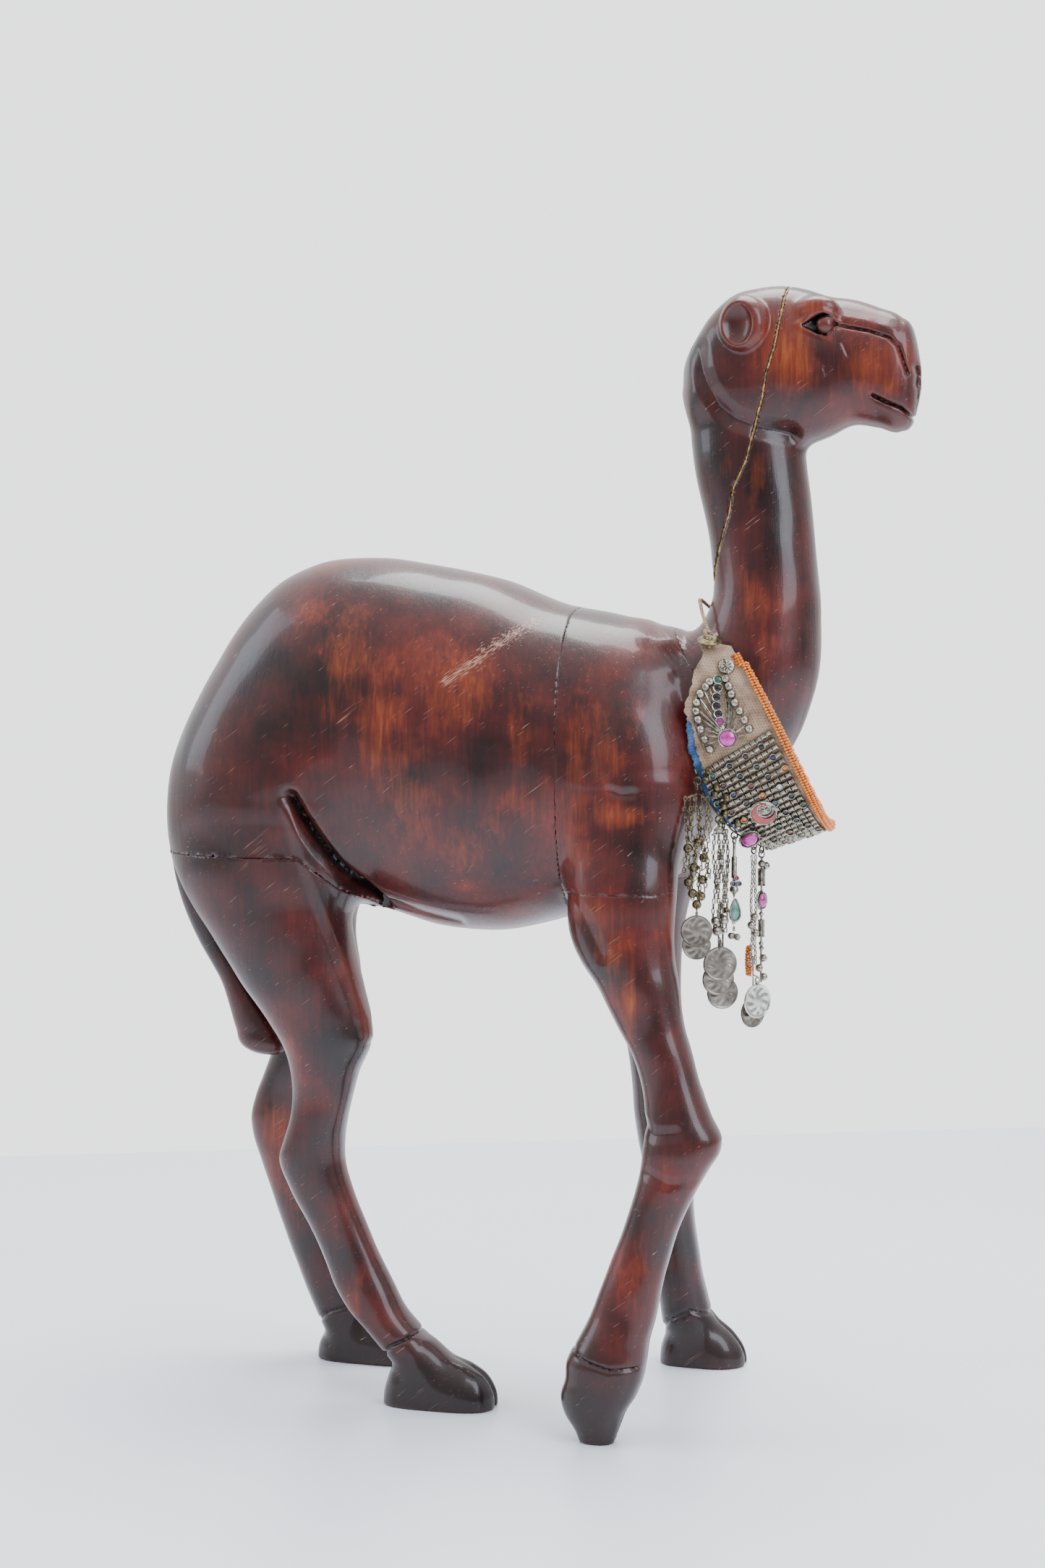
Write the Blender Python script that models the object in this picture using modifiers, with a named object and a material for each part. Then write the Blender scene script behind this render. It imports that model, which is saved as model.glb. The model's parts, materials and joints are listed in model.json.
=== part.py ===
"""Carved wooden camel, glued up from dowelled blocks, wearing a jewelled choker with hanging chains.

+X is the way the camel faces, +Y is its left side, +Z is up, and the origin is on the floor
under the middle of the camel. "near" pieces are on the right side (-Y), "far" ones on the left.
"""
import math

import bmesh
import bpy
from mathutils import Matrix, Vector
from mathutils.bvhtree import BVHTree

MM = 0.001
UP = Vector((0, 0, 1))
CAMEL = "carved_camel"
WELD = 1e-6                    # points nearer than this are one point, m
BASE_MIDDLE = (8.282, -3.477, 0)   # middle of the camel's outline on the floor, mm
GAP = 0.3                      # clearance between neighbouring solids, mm

# ---------------------------------------------------------------- wood, mm
VOXEL = 4.0                    # size the joined form is remeshed at
WOOD_FACES = 4600              # triangles the whole wooden form is reduced to
DOWEL_R = 8.0                  # hardwood dowel radius
DOWEL_CLEAR = 0.3              # hole radius less dowel radius
GLUE_LINE = 1.0                # thickness of the filler showing in the neck joint
SOLE_SNAP = 0.4                # points this near the floor lie on it
HALF_SAW = 200.0               # half width of a saw block that goes right through

# upright sections of the barrel: x, top z, bottom z, half width
TORSO = [(-277, 468, 402, 24), (-269, 494, 386, 42), (-251, 536, 374, 60), (-226, 580, 370, 74),
         (-192, 619, 371, 82), (-158, 636, 374, 87), (-110, 640, 372, 90), (-60, 633, 359, 92),
         (-10, 622, 357, 92), (30, 606, 366, 90), (70, 597, 380, 86), (105, 589, 392, 74),
         (125, 576, 405, 54), (138, 548, 425, 34)]
# sections along the neck: x, z of its centre, half depth in the XZ plane, half width
NECK = [(20, 490, 92, 70), (75, 498, 88, 68), (122, 512, 74, 60), (157, 535, 63, 50),
        (178, 565, 50, 45), (186, 600, 41, 40), (184, 645, 38.5, 36), (179, 680, 40, 34),
        (173, 715, 41.5, 34), (170, 765, 42, 34)]
# upright sections of the head: x, top z, bottom z, half width
HEAD = [(124, 786, 748, 12), (132, 797, 738, 24), (144, 815, 734, 33), (160, 830, 732, 38),
        (180, 836, 726, 40), (200, 837, 722, 40), (216, 834, 722, 38), (232, 829, 727, 34),
        (250, 826, 735, 30), (268, 820, 733, 27), (284, 813, 730, 24), (294, 802, 737, 18),
        (299, 784, 752, 10)]
# level sections of the limbs: z, x and y of the centre, half depth, half width
HINDLEG_NEAR = [(440, -172, -46, 66, 34), (400, -184, -52, 68, 38), (374, -182, -55, 60, 36),
                (345, -171, -57, 52, 33), (315, -158, -58, 45, 30), (291, -146, -58, 39, 27),
                (272, -139, -58, 34, 25), (251, -140, -58, 26, 22), (233, -142, -57, 23, 20),
                (216, -145, -57, 22, 20), (199, -149, -56, 23, 21), (184, -151, -56, 25, 21),
                (161, -144, -56, 24, 20), (133, -131, -55, 22, 18), (101, -116, -55, 22, 18),
                (86, -109, -55, 23, 19), (68, -98, -55, 22, 20), (53, -84, -55, 22, 21),
                (30, -66, -55, 20, 20), (12, -60, -55, 18, 18)]
HINDLEG_FAR = [(440, -176, 46, 62, 34), (400, -196, 50, 58, 38), (374, -200, 52, 52, 36),
               (345, -198, 53, 46, 33), (315, -192, 53, 44, 30), (285, -184, 52, 40, 27),
               (253, -184, 51, 34, 24), (229, -192, 50, 34, 22), (211, -204, 50, 29, 20),
               (194, -210, 50, 27, 20), (176, -209, 50, 26, 20), (158, -204, 50, 25, 19),
               (141, -198, 50, 25, 18), (106, -185, 50, 26, 18), (71, -172, 50, 25, 20),
               (45, -162, 50, 24, 21), (12, -150, 50, 20, 20)]
FORELEG_NEAR = [(470, 88, -50, 48, 34), (430, 90, -60, 42, 34), (395, 92, -68, 40, 33),
                (364, 93, -73, 38, 29), (343, 99, -76, 34, 27), (328, 106, -78, 30, 25),
                (313, 111, -79, 27, 24), (297, 117, -81, 24, 22), (282, 124, -83, 22, 21),
                (255, 133, -86, 21.5, 20), (236, 138, -88, 24, 21), (220, 142, -90, 28, 22),
                (211, 141, -91, 28, 22), (199, 137, -92, 25, 21), (181, 130, -94, 22, 20),
                (156, 121, -97, 20, 18), (135, 114, -99, 20.5, 18), (112, 107, -102, 22, 19),
                (90, 101, -104, 24, 20), (74, 95, -106, 26, 22), (58, 90, -108, 29, 24),
                (44, 88, -109, 28, 24), (32, 84, -111, 27, 22), (20, 82, -112, 22, 19),
                (8, 84, -114, 16, 14), (-6, 85, -115, 11, 10)]
FORELEG_FAR = [(470, 86, 50, 48, 34), (430, 86, 58, 42, 34), (395, 84, 63, 38, 33),
               (360, 80, 66, 34, 29), (320, 82, 68, 28, 25), (285, 87, 70, 24, 22),
               (246, 93, 71, 23, 21), (221, 100, 74, 28, 22), (203, 101, 76, 28, 22),
               (185, 101, 79, 26, 21), (168, 100, 81, 22, 20), (138, 99, 85, 19, 18),
               (114, 101, 89, 18, 17), (96, 103, 91, 18, 17), (69, 106, 95, 19, 18),
               (50, 109, 98, 20, 19), (28, 114, 100, 21, 20), (12, 118, 103, 18, 18)]
TAIL = [(450, -262, 0, 18, 12), (405, -268, 0, 16, 11), (374, -264, 0, 13, 11),
        (340, -250, 0, 12, 10), (307, -231, 0, 12, 10), (289, -222, 0, 15, 11),
        (272, -214, 0, 18, 12), (258, -208, 0, 18, 12), (252, -205, 0, 12, 9)]
# upright sections of the flat-soled hooves: x, top z, half width; then the middle y of each
HOOF_HIND_NEAR = ([(-93, 14, 12), (-86, 30, 18), (-74, 46, 21.5), (-60, 50, 22.5), (-42, 38, 23),
                   (-25, 31, 21.5), (-14, 23, 17), (-7, 13, 10)], -55)
HOOF_HIND_FAR = ([(-180, 14, 12), (-172, 24, 18), (-156, 40, 21.5), (-138, 42, 22.5), (-122, 38, 23),
                  (-105, 30, 21.5), (-94, 22, 17), (-87, 13, 10)], 50)
HOOF_FORE_FAR = ([(90, 16, 12), (96, 28, 18), (108, 42, 21.5), (122, 44, 22.5), (136, 34, 22),
                  (148, 24, 18), (155, 15, 12), (158, 10, 8)], 103)
# rounded masses: centre, radii (the near one; each is mirrored)
MASSES = [((102, 56, 470), (36, 33, 60)),        # shoulder
          ((-192, 44, 450), (70, 46, 90)),       # haunch
          ((175, 34, 807), (16, 12, 20)),        # ear
          ((231, 30, 806), (8, 7, 7)),           # eye
          ((226, 26, 815), (16, 8, 6))]          # brow

# glued joints between the blocks, as (x, z) lines
NECK_SEAM = [(212, 860), (203, 831), (201, 813), (197, 790), (191, 770), (188, 753), (182, 735),
             (176, 709), (167, 690), (163, 669), (159, 658), (154, 640), (150, 624), (138, 600),
             (120, 585)]
NECK_BASE = [(108, 640), (120, 585), (196, 470), (215, 445), (235, 420)]
BARREL_SEAM_X = 46.0
FORELEG_TOP_Z = 395.0
HINDLEG_TOP = [(-330, 415), (-150, 415), (-110, 380), (-80, 340)]
HINDLEG_INNER_Y = 15.0         # the tail hangs between the two thighs

# ---------------------------------------------------------------- choker, mm
RING_TOP_C = (190.5, 519.5)    # middle of the head-side edge, in XZ
RING_T = (0.466, -0.885)       # from the nape to the hanging front
RING_A = (87.0, 95.0)          # half length along that line, front and nape
RING_B = 57.0                  # half width across the neck, head-side edge
RING_B_GROW = 8.0              # how much wider the body-side edge is
RING_BULGE = 7.0               # how far the head-side edge bows forward at the sides
FAR_SWING = 39.0               # how far the left half is swung back towards the neck
END_PHI = 128.0                # the band stops this far round from the hanging front
# angle round from the front: width of the band, rise of its body-side edge per unit width
BAND_SHAPE = [(0, 44, -0.35), (18, 47, -0.35), (36, 59, -0.25), (55, 66, -0.17), (78, 62, -0.13),
              (97, 52, -0.10), (108, 38, 0.05), (120, 23, 0.20), (150, 17, 0.25), (180, 17, 0.25)]
CLOTH_CLEAR = 1.2              # the cloth's least distance from the wood
COIN_T = 1.6
RING_R, WIRE_R = 2.6, 0.7      # jump rings and their wire
# start, end, and the two blocks that each dowel joins
DOWELS = {
    "neck_dowel": ((138, 0, 490), (182, 0, 540), ("shoulder_block", "neck_head_block")),
    "barrel_dowel": ((16, 0, 500), (76, 0, 500), ("body_block", "shoulder_block")),
    "foreleg_near_dowel": ((90, -64, 365), (90, -64, 425), ("foreleg_near", "shoulder_block")),
    "foreleg_far_dowel": ((86, 62, 365), (86, 62, 425), ("foreleg_far", "shoulder_block")),
    "hindleg_near_dowel": ((-190, -52, 385), (-190, -52, 445), ("hindleg_near", "body_block")),
    "hindleg_far_dowel": ((-198, 50, 385), (-198, 50, 445), ("hindleg_far", "body_block")),
}

# turned pieces as (radius, height), from the top of the axis down the outer side to the axis, mm
CUP = [(0, 1.0), (6.2, 1.0), (6.2, 2.6), (7, 2.6), (7, 0), (0, 0)]
CUP_STONE = [(0, 4.6), (3.6, 4.0), (5.6, 2.6), (5.8, 1.3), (0, 1.3)]
ROSETTE = [(0, 3.2), (1.6, 2.8), (2.0, 1.6), (5.0, 2.0), (6.2, 1.0), (6.0, 0), (0, 0)]
CRESCENT_CUP = [(0, 0.9), (9.2, 0.9), (9.2, 2.4), (10, 2.4), (10, 0), (0, 0)]
OVAL_CUP = [(0, 1.0), (7.2, 1.0), (7.2, 2.6), (8, 2.6), (8, 0), (0, 0)]
OVAL_STONE = [(0, 4.8), (4.2, 4.2), (6.5, 2.6), (6.7, 1.3), (0, 1.3)]
OVAL_SQUASH = (0.84, 0.82)     # width over height of the oval's cup and of its stone
BUTTON = [(0, 4.8), (5, 4.4), (9.0, 2.8), (8.6, 1.8), (1.6, 1.6), (1.6, 0), (0, 0)]
DROP_STONE = [(0, 0), (1.5, -0.2), (3.0, -4), (4.3, -8), (4.0, -11), (2.2, -13), (0, -13.6)]
SIDE_STONE = [(0, 3.4), (5.2, 2.0), (6.0, 0), (5.2, -2.0), (0, -2.2)]
SICKLE = (8.6, 6.2, 3.0, 45.0, 1.0)  # outer radius, inner radius, their offset, mouth angle, thickness

# layers on the band, as distances out from the cloth's inner face, mm
LINING = (0.0, 0.8)
BACKING = (1.4, 2.6)
PANEL = (3.2, 5.6)
FAN = (3.2, 4.8)
BEZEL_ROW = (5.2, 6.8)
PANEL_PHI = 76.0               # the woven panel runs this far round each side
FAN_END_PHI = 109.0
EDGING_R, EDGING_OUT = 3.0, 4.2  # beaded edging: radius, distance from the cloth's edge
GEM_AT = (83.0, 0.56, 5.9)     # angle, place across the band, distance out
ROSETTE_AT = (114.5, 0.35, 3.4)
CRESCENT_AT = (44.0, 0.55, 6.3)
OVAL_AT = (30.0, 0.94, 7.6)
BUTTON_AT = (124.0, 0.62, 8.5)
BUTTON_FACES = (0.10, -0.40, 0.91)
BELLS = (70.0, 50.0, 0.88, 8.8)  # first and last angle, place across, distance out
TIE_R, TIE_OUT = 1.3, 2.2

# strand: angle round the band, how far out of the cloth it hangs, then its stem as (radius, z)
STRANDS = {
    "strand_lace": (68, 8.0, [(1.8, 462), (1.8, 432), (3.0, 428), (1.8, 424), (1.8, 400), (3.0, 396),
                              (1.2, 391)]),
    "strand_chains": (45, 3.0, [(1.2, 432), (3.8, 426), (2.2, 419), (2.8, 414), (2.8, 366), (1.2, 362)]),
    "strand_inner": (40, -3.0, [(1.8, 425), (1.8, 392), (3.0, 388), (1.8, 384), (3.0, 380), (1.8, 376)]),
    "strand_drop": (33, 3.0, [(1.6, 418), (1.6, 402), (3.6, 397), (3.6, 390), (1.4, 387.5)]),
    "strand_long": (21.5, 3.0, [(1.6, 412), (1.6, 378), (3.0, 374), (1.6, 370)]),
    "strand_tubes": (12, 3.0, [(1.6, 406), (3.4, 402), (3.4, 396), (1.6, 392)]),
}
# coin: strand, height of its centre, how far out of the stem it hangs, radius
COINS = {
    "coin_lace_front": ("strand_lace", 368, 5.0, 11.5),
    "coin_lace_end": ("strand_lace", 357, 0.0, 10.5),
    "coin_chains_front": ("strand_chains", 342, 5.0, 12.7),
    "coin_chains_end": ("strand_chains", 330, 0.0, 12.0),
    "coin_inner_end": ("strand_inner", 319, 0.0, 12.0),
    "coin_long_front": ("strand_long", 312, 5.0, 12.7),
    "coin_long_end": ("strand_long", 303, 0.0, 11.5),
}
RIM_V, RIM_OUT = 1.05, 3.0     # the edge wire's place across the band and distance out
SOLDER = 0.3                   # how far soldered wires sink into each other
DROP_TOP_Z, SIDE_STONE_Z = 387.1, 385.3
TUBES_TAIL = [(1.0, 378.9), (3.0, 376), (1.6, 373), (3.2, 370), (3.2, 358), (1.6, 355), (1.6, 346),
              (3.0, 342), (1.4, 339), (3.0, 335), (1.4, 332), (3.0, 328), (1.0, 325)]
TASSEL = [(1.2, 352), (2.4, 348), (2.4, 336), (1.0, 330)]
TASSEL_BACK = 5.0              # the tassel hangs this far behind its strand
LINK = RING_R - 2 * WIRE_R - GAP - 0.05     # how far one ring's centre hangs below another's wire

# base colour, metallic, roughness
LOOKS = {
    "wood_dark": ((0.085, 0.020, 0.011), 0.0, 0.3),
    "wood_dowel": ((0.42, 0.27, 0.14), 0.0, 0.7),
    "filler": ((0.42, 0.27, 0.12), 0.0, 0.8),
    "cloth_tan": ((0.40, 0.29, 0.20), 0.0, 0.95),
    "cloth_blue": ((0.05, 0.14, 0.27), 0.0, 0.95),
    "beads_orange": ((0.75, 0.20, 0.02), 0.0, 0.45),
    "silver": ((0.36, 0.33, 0.28), 1.0, 0.42),
    "dark_metal": ((0.16, 0.13, 0.09), 1.0, 0.5),
    "glass_magenta": ((0.75, 0.03, 0.35), 0.0, 0.1),
    "glass_green": ((0.02, 0.20, 0.13), 0.0, 0.15),
    "enamel_red": ((0.45, 0.02, 0.03), 0.0, 0.25),
}


# ================================================================ helpers
def collection(name):
    coll = bpy.data.collections.new(name)
    bpy.context.scene.collection.children.link(coll)
    return coll


def material(name, colour, metal, rough):
    mat = bpy.data.materials.new(name)
    mat.use_nodes = True
    shader = mat.node_tree.nodes["Principled BSDF"]
    shader.inputs["Base Color"].default_value = (*colour, 1.0)
    shader.inputs["Metallic"].default_value = metal
    shader.inputs["Roughness"].default_value = rough
    return mat


def paint(obj, mat):
    obj.data.materials.clear()
    obj.data.materials.append(mat)


def put(name, data, mat=None):
    """New object in the camel's collection."""
    obj = bpy.data.objects.new(name, data)
    bpy.data.collections[CAMEL].objects.link(obj)
    if mat:
        paint(obj, mat)
    return obj


def primitive(name, add, mat=None, **sizes):
    """Object made by one of Blender's own primitives, moved into the camel's collection."""
    add(**sizes)
    made = bpy.context.object
    mesh, place = made.data, made.matrix_world.copy()
    drop(made)
    obj = put(name, mesh, mat)
    obj.matrix_world = place
    return obj


def drop(obj):
    bpy.data.objects.remove(obj, do_unlink=True)


def bake(obj):
    """Apply the object's modifiers, or make its curve a mesh, and weld what coincides."""
    graph = bpy.context.evaluated_depsgraph_get()
    mesh = bpy.data.meshes.new_from_object(obj.evaluated_get(graph), depsgraph=graph)
    if obj.type == "CURVE":
        name = obj.name
        drop(obj)
        obj = put(name, mesh)
    else:
        obj.modifiers.clear()
        obj.data = mesh
    edit(obj, lambda bm: bmesh.ops.remove_doubles(bm, verts=bm.verts, dist=WELD))
    return obj


def edit(obj, change):
    """Run a bmesh change on the object's mesh."""
    bm = bmesh.new()
    bm.from_mesh(obj.data)
    change(bm)
    bm.to_mesh(obj.data)
    bm.free()


def boolean(obj, other, how):
    """EXACT boolean with a closed object, which is used up."""
    mod = obj.modifiers.new(how, "BOOLEAN")
    mod.operation, mod.solver, mod.object = how, "EXACT", other
    obj = bake(obj)
    drop(other)
    return obj


def loft(name, rings, mat=None):
    """Closed skin through rings of equal length (points in mm), with its ends closed."""
    bm = bmesh.new()
    rows = [[bm.verts.new(Vector(p) * MM) for p in ring] for ring in rings]
    count = len(rings[0])
    for low, high in zip(rows, rows[1:]):
        for i in range(count):
            j = (i + 1) % count
            bm.faces.new((low[i], low[j], high[j], high[i]))
    bm.faces.new(list(reversed(rows[0])))
    bm.faces.new(rows[-1])
    bmesh.ops.recalc_face_normals(bm, faces=bm.faces)
    mesh = bpy.data.meshes.new(name)
    bm.to_mesh(mesh)
    bm.free()
    return put(name, mesh, mat)


def oval(power, count):
    """Unit superellipse points."""
    points = []
    for i in range(count):
        a = 2 * math.pi * i / count
        c, s = math.cos(a), math.sin(a)
        points.append((math.copysign(abs(c) ** (2 / power), c), math.copysign(abs(s) ** (2 / power), s)))
    return points


def level_limb(rows, count=20):
    """Limb with level sections: z, x, y, half depth, half width."""
    return loft("limb", [[(x + a * c, y + b * s, z) for c, s in oval(2.3, count)]
                         for z, x, y, a, b in rows])


def upright_form(rows, count=28, power=2.4):
    """Form with upright sections: x, top z, bottom z, half width."""
    return loft("form", [[(x, w * c, (t + b) / 2 + (t - b) / 2 * s) for c, s in oval(power, count)]
                         for x, t, b, w in rows])


def swept_form(rows, count=28):
    """Form swept along a line in the XZ plane: x, z, half depth, half width."""
    rings = []
    for i, (x, z, a, b) in enumerate(rows):
        before, after = rows[max(i - 1, 0)], rows[min(i + 1, len(rows) - 1)]
        tx, tz = after[0] - before[0], after[1] - before[1]
        size = math.hypot(tx, tz)
        nx, nz = -tz / size, tx / size
        rings.append([(x + a * c * nx, b * s, z + a * c * nz) for c, s in oval(2.15, count)])
    return loft("form", rings)


def hoof(rows, middle_y, count=20):
    """Flat-soled hoof whose lower half runs below the floor, to be trimmed level."""
    return loft("hoof", [[(x, middle_y + w * c, t * s) for c, s in oval(2.4, count)]
                         for x, t, w in rows])


def prism(outline, y0, y1):
    """Saw block with an (x, z) outline between two y values."""
    return loft("saw", [[(x, y, z) for x, z in outline] for y in (y0, y1)])


def turned(name, profile, steps, place, mat=None, squash=1.0):
    """Profile turned about Z with a Screw modifier, then set in its place."""
    mesh = bpy.data.meshes.new(name)
    mesh.from_pydata([(r * MM, 0, h * MM) for r, h in profile],
                     [(i, i + 1) for i in range(len(profile) - 1)], [])
    obj = put(name, mesh, mat)
    screw = obj.modifiers.new("turn", "SCREW")
    screw.steps = screw.render_steps = steps
    screw.use_merge_vertices, screw.merge_threshold = True, WELD
    bake(obj)
    obj.data.transform(Matrix.Diagonal((squash, 1, 1, 1)))
    obj.matrix_world = place
    return obj


def wire_through(name, points, radii, mat=None, resolution=2):
    """Poly curve with a round bevel whose radius follows the list, in mm."""
    curve = bpy.data.curves.new(name, "CURVE")
    curve.dimensions, curve.bevel_depth, curve.use_fill_caps = "3D", MM, True
    curve.bevel_resolution, curve.resolution_u, curve.render_resolution_u = resolution, 1, 0
    spline = curve.splines.new("POLY")
    spline.points.add(len(points) - 1)
    for node, point, radius in zip(spline.points, points, radii):
        node.co = (*(Vector(point) * MM), 1.0)
        node.radius = radius
    obj = bake(put(name, curve))
    if mat:
        paint(obj, mat)
    return obj


def facing(point, normal, up=(0, 0, 1)):
    """Placement whose Z is the normal and whose Y is as near to up as it can be; point in mm."""
    z = Vector(normal).normalized()
    if abs(z.dot(Vector(up))) > 0.99:
        up = (1, 0, 0)
    x = Vector(up).cross(z).normalized()
    turn = Matrix((x, z.cross(x), z)).transposed().to_4x4()
    return Matrix.Translation(Vector(point) * MM) @ turn


def jump_ring(centre, normal):
    """Closed wire ring."""
    ring = primitive("ring", bpy.ops.mesh.primitive_torus_add, major_segments=12, minor_segments=6,
                     major_radius=RING_R * MM, minor_radius=WIRE_R * MM)
    ring.matrix_world = facing(centre, normal)
    return ring


def unite(name, pieces, mat):
    """Boolean union of overlapping pieces."""
    body = pieces[0]
    for other in pieces[1:]:
        body = boolean(body, other, "UNION")
    body.name = name
    paint(body, mat)
    return body


def hang_from(obj, pivot):
    """Put the object's origin on its joint's axis, with its shape left where it is."""
    shift = Matrix.Translation(pivot * MM)
    obj.data.transform(shift.inverted() @ obj.matrix_world)
    obj.matrix_world = shift


def ride(piece, carrier):
    """Parent a piece to what carries it, in place."""
    bpy.context.view_layer.update()
    piece.parent = carrier
    piece.matrix_parent_inverse = carrier.matrix_world.inverted()


def spread(first, last, count):
    return [first + (last - first) * i / (count - 1) for i in range(count)]


# ================================================================ the wooden animal
def wooden_form():
    """All masses joined, blended into one skin and trimmed level at the floor."""
    pieces = [upright_form(TORSO), swept_form(NECK), upright_form(HEAD, power=2.5)]
    pieces += [level_limb(rows) for rows in (HINDLEG_NEAR, HINDLEG_FAR, FORELEG_NEAR, FORELEG_FAR, TAIL)]
    pieces += [hoof(rows, y) for rows, y in (HOOF_HIND_NEAR, HOOF_HIND_FAR, HOOF_FORE_FAR)]
    for (x, y, z), radii in MASSES:
        for side in (-1, 1):
            pieces.append(primitive("mass", bpy.ops.mesh.primitive_uv_sphere_add, segments=20,
                                    ring_count=12, radius=1.0, location=Vector((x, side * y, z)) * MM,
                                    scale=Vector(radii) * MM))
    bpy.context.view_layer.update()
    bm = bmesh.new()
    for piece in pieces:
        piece.data.transform(piece.matrix_world)
        bm.from_mesh(piece.data)
        drop(piece)
    mesh = bpy.data.meshes.new("form")
    bm.to_mesh(mesh)
    bm.free()
    form = put("form", mesh)
    blend = form.modifiers.new("blend", "REMESH")
    blend.mode, blend.voxel_size = "VOXEL", VOXEL * MM
    soften = form.modifiers.new("soften", "SMOOTH")
    soften.factor, soften.iterations = 0.5, 8
    bake(form)
    edit(form, trim_level)
    reduce_to = form.modifiers.new("reduce", "DECIMATE")
    reduce_to.ratio = WOOD_FACES / len(form.data.polygons)
    bake(form)
    for vert in form.data.vertices:
        if vert.co.z < SOLE_SNAP * MM:
            vert.co.z = 0.0
    return form


def trim_level(bm):
    """Cut everything below the floor away and close the soles flat."""
    cut = bmesh.ops.bisect_plane(bm, geom=bm.verts[:] + bm.edges[:] + bm.faces[:], dist=1e-7,
                                 plane_co=(0, 0, 0), plane_no=(0, 0, 1), clear_inner=True)
    rim = [e for e in cut["geom_cut"] if isinstance(e, bmesh.types.BMEdge)]
    bmesh.ops.holes_fill(bm, edges=rim, sides=0)
    bmesh.ops.triangulate(bm, faces=bm.faces)


def shifted(line, dx, dz):
    return [(x + dx, z + dz) for x, z in line]


def biggest_island(bm):
    """Keep the largest connected piece, so that a cut leaves no crumb."""
    todo, islands = set(bm.verts), []
    while todo:
        seed = todo.pop()
        island, stack = {seed}, [seed]
        while stack:
            for edge in stack.pop().link_edges:
                for vert in edge.verts:
                    if vert in todo:
                        todo.discard(vert)
                        island.add(vert)
                        stack.append(vert)
        islands.append(island)
    keep = max(islands, key=len)
    bmesh.ops.delete(bm, geom=[v for v in bm.verts if v not in keep], context="VERTS")


def cut_blocks(form, wood, filler):
    """Saw the form into its glued blocks, GAP apart."""
    half = GAP / 2
    line = GLUE_LINE / 2
    seam, leg = BARREL_SEAM_X, FORELEG_TOP_Z
    crack, tip = NECK_SEAM[:-1], NECK_SEAM[-1]
    outlines = {
        "neck_head_block": (shifted(crack, line + GAP, 0) + shifted(NECK_BASE, half + 0.1, half + 0.1)[1:]
                            + [(420, 420), (420, 860)]),
        "nape_block": ([(60, 860)] + shifted(crack, -line - GAP, 0)
                       + [(tip[0] - 1, tip[1] + 1.8), (107, 641), (60, 641)]),
        "neck_glue_line": shifted(crack, -line, 0) + list(reversed(shifted(crack, line, 0))),
        "shoulder_block": ([(seam + half, 860), (107, 860)] + shifted(NECK_BASE, -half, -half)
                           + [(235, leg + half), (seam + half, leg + half)]),
        "foreleg_near": [(seam + half, leg - half), (235, leg - half), (235, -20), (20, -20), (20, 300),
                         (seam + half, 340)],
        "body_block": [(seam - half, 900), (seam - half, 300), (-20, 300), (-60, 200), (-340, 200),
                       (-340, 900)],
        "hindleg_near": shifted(HINDLEG_TOP, 0, -half) + [(-20, 300), (0, -20), (-330, -20)],
    }
    outlines["foreleg_far"], outlines["hindleg_far"] = outlines["foreleg_near"], outlines["hindleg_near"]
    thigh_room = shifted(HINDLEG_TOP, 0, half) + [(-15, 300), (0, -25), (-335, -25)]
    reach = {"foreleg_near": (-HALF_SAW, -half), "foreleg_far": (half, HALF_SAW),
             "hindleg_near": (-HALF_SAW, -HINDLEG_INNER_Y), "hindleg_far": (HINDLEG_INNER_Y, HALF_SAW)}
    blocks = {}
    for name, outline in outlines.items():
        block = put(name, form.data.copy(), filler if name == "neck_glue_line" else wood)
        blocks[name] = boolean(block, prism(outline, *reach.get(name, (-HALF_SAW, HALF_SAW))), "INTERSECT")
    for low, high in ((-HALF_SAW, GAP - HINDLEG_INNER_Y), (HINDLEG_INNER_Y - GAP, HALF_SAW)):
        boolean(blocks["body_block"], prism(thigh_room, low, high), "DIFFERENCE")
    return blocks


def dowel(name, start, end, blocks, mat):
    """Round dowel bridging two blocks, with a hole bored for it in each."""
    start, end = Vector(start), Vector(end)
    place = facing((start + end) / 2, end - start)
    long = (end - start).length

    def rod(label, radius, length):
        made = primitive(label, bpy.ops.mesh.primitive_cylinder_add, mat, vertices=16,
                         radius=radius * MM, depth=length * MM)
        made.matrix_world = place
        return made

    for block in blocks:
        boolean(block, rod("bore", DOWEL_R + DOWEL_CLEAR, long + 2 * DOWEL_CLEAR), "DIFFERENCE")
    return rod(name, DOWEL_R, long)


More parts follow.
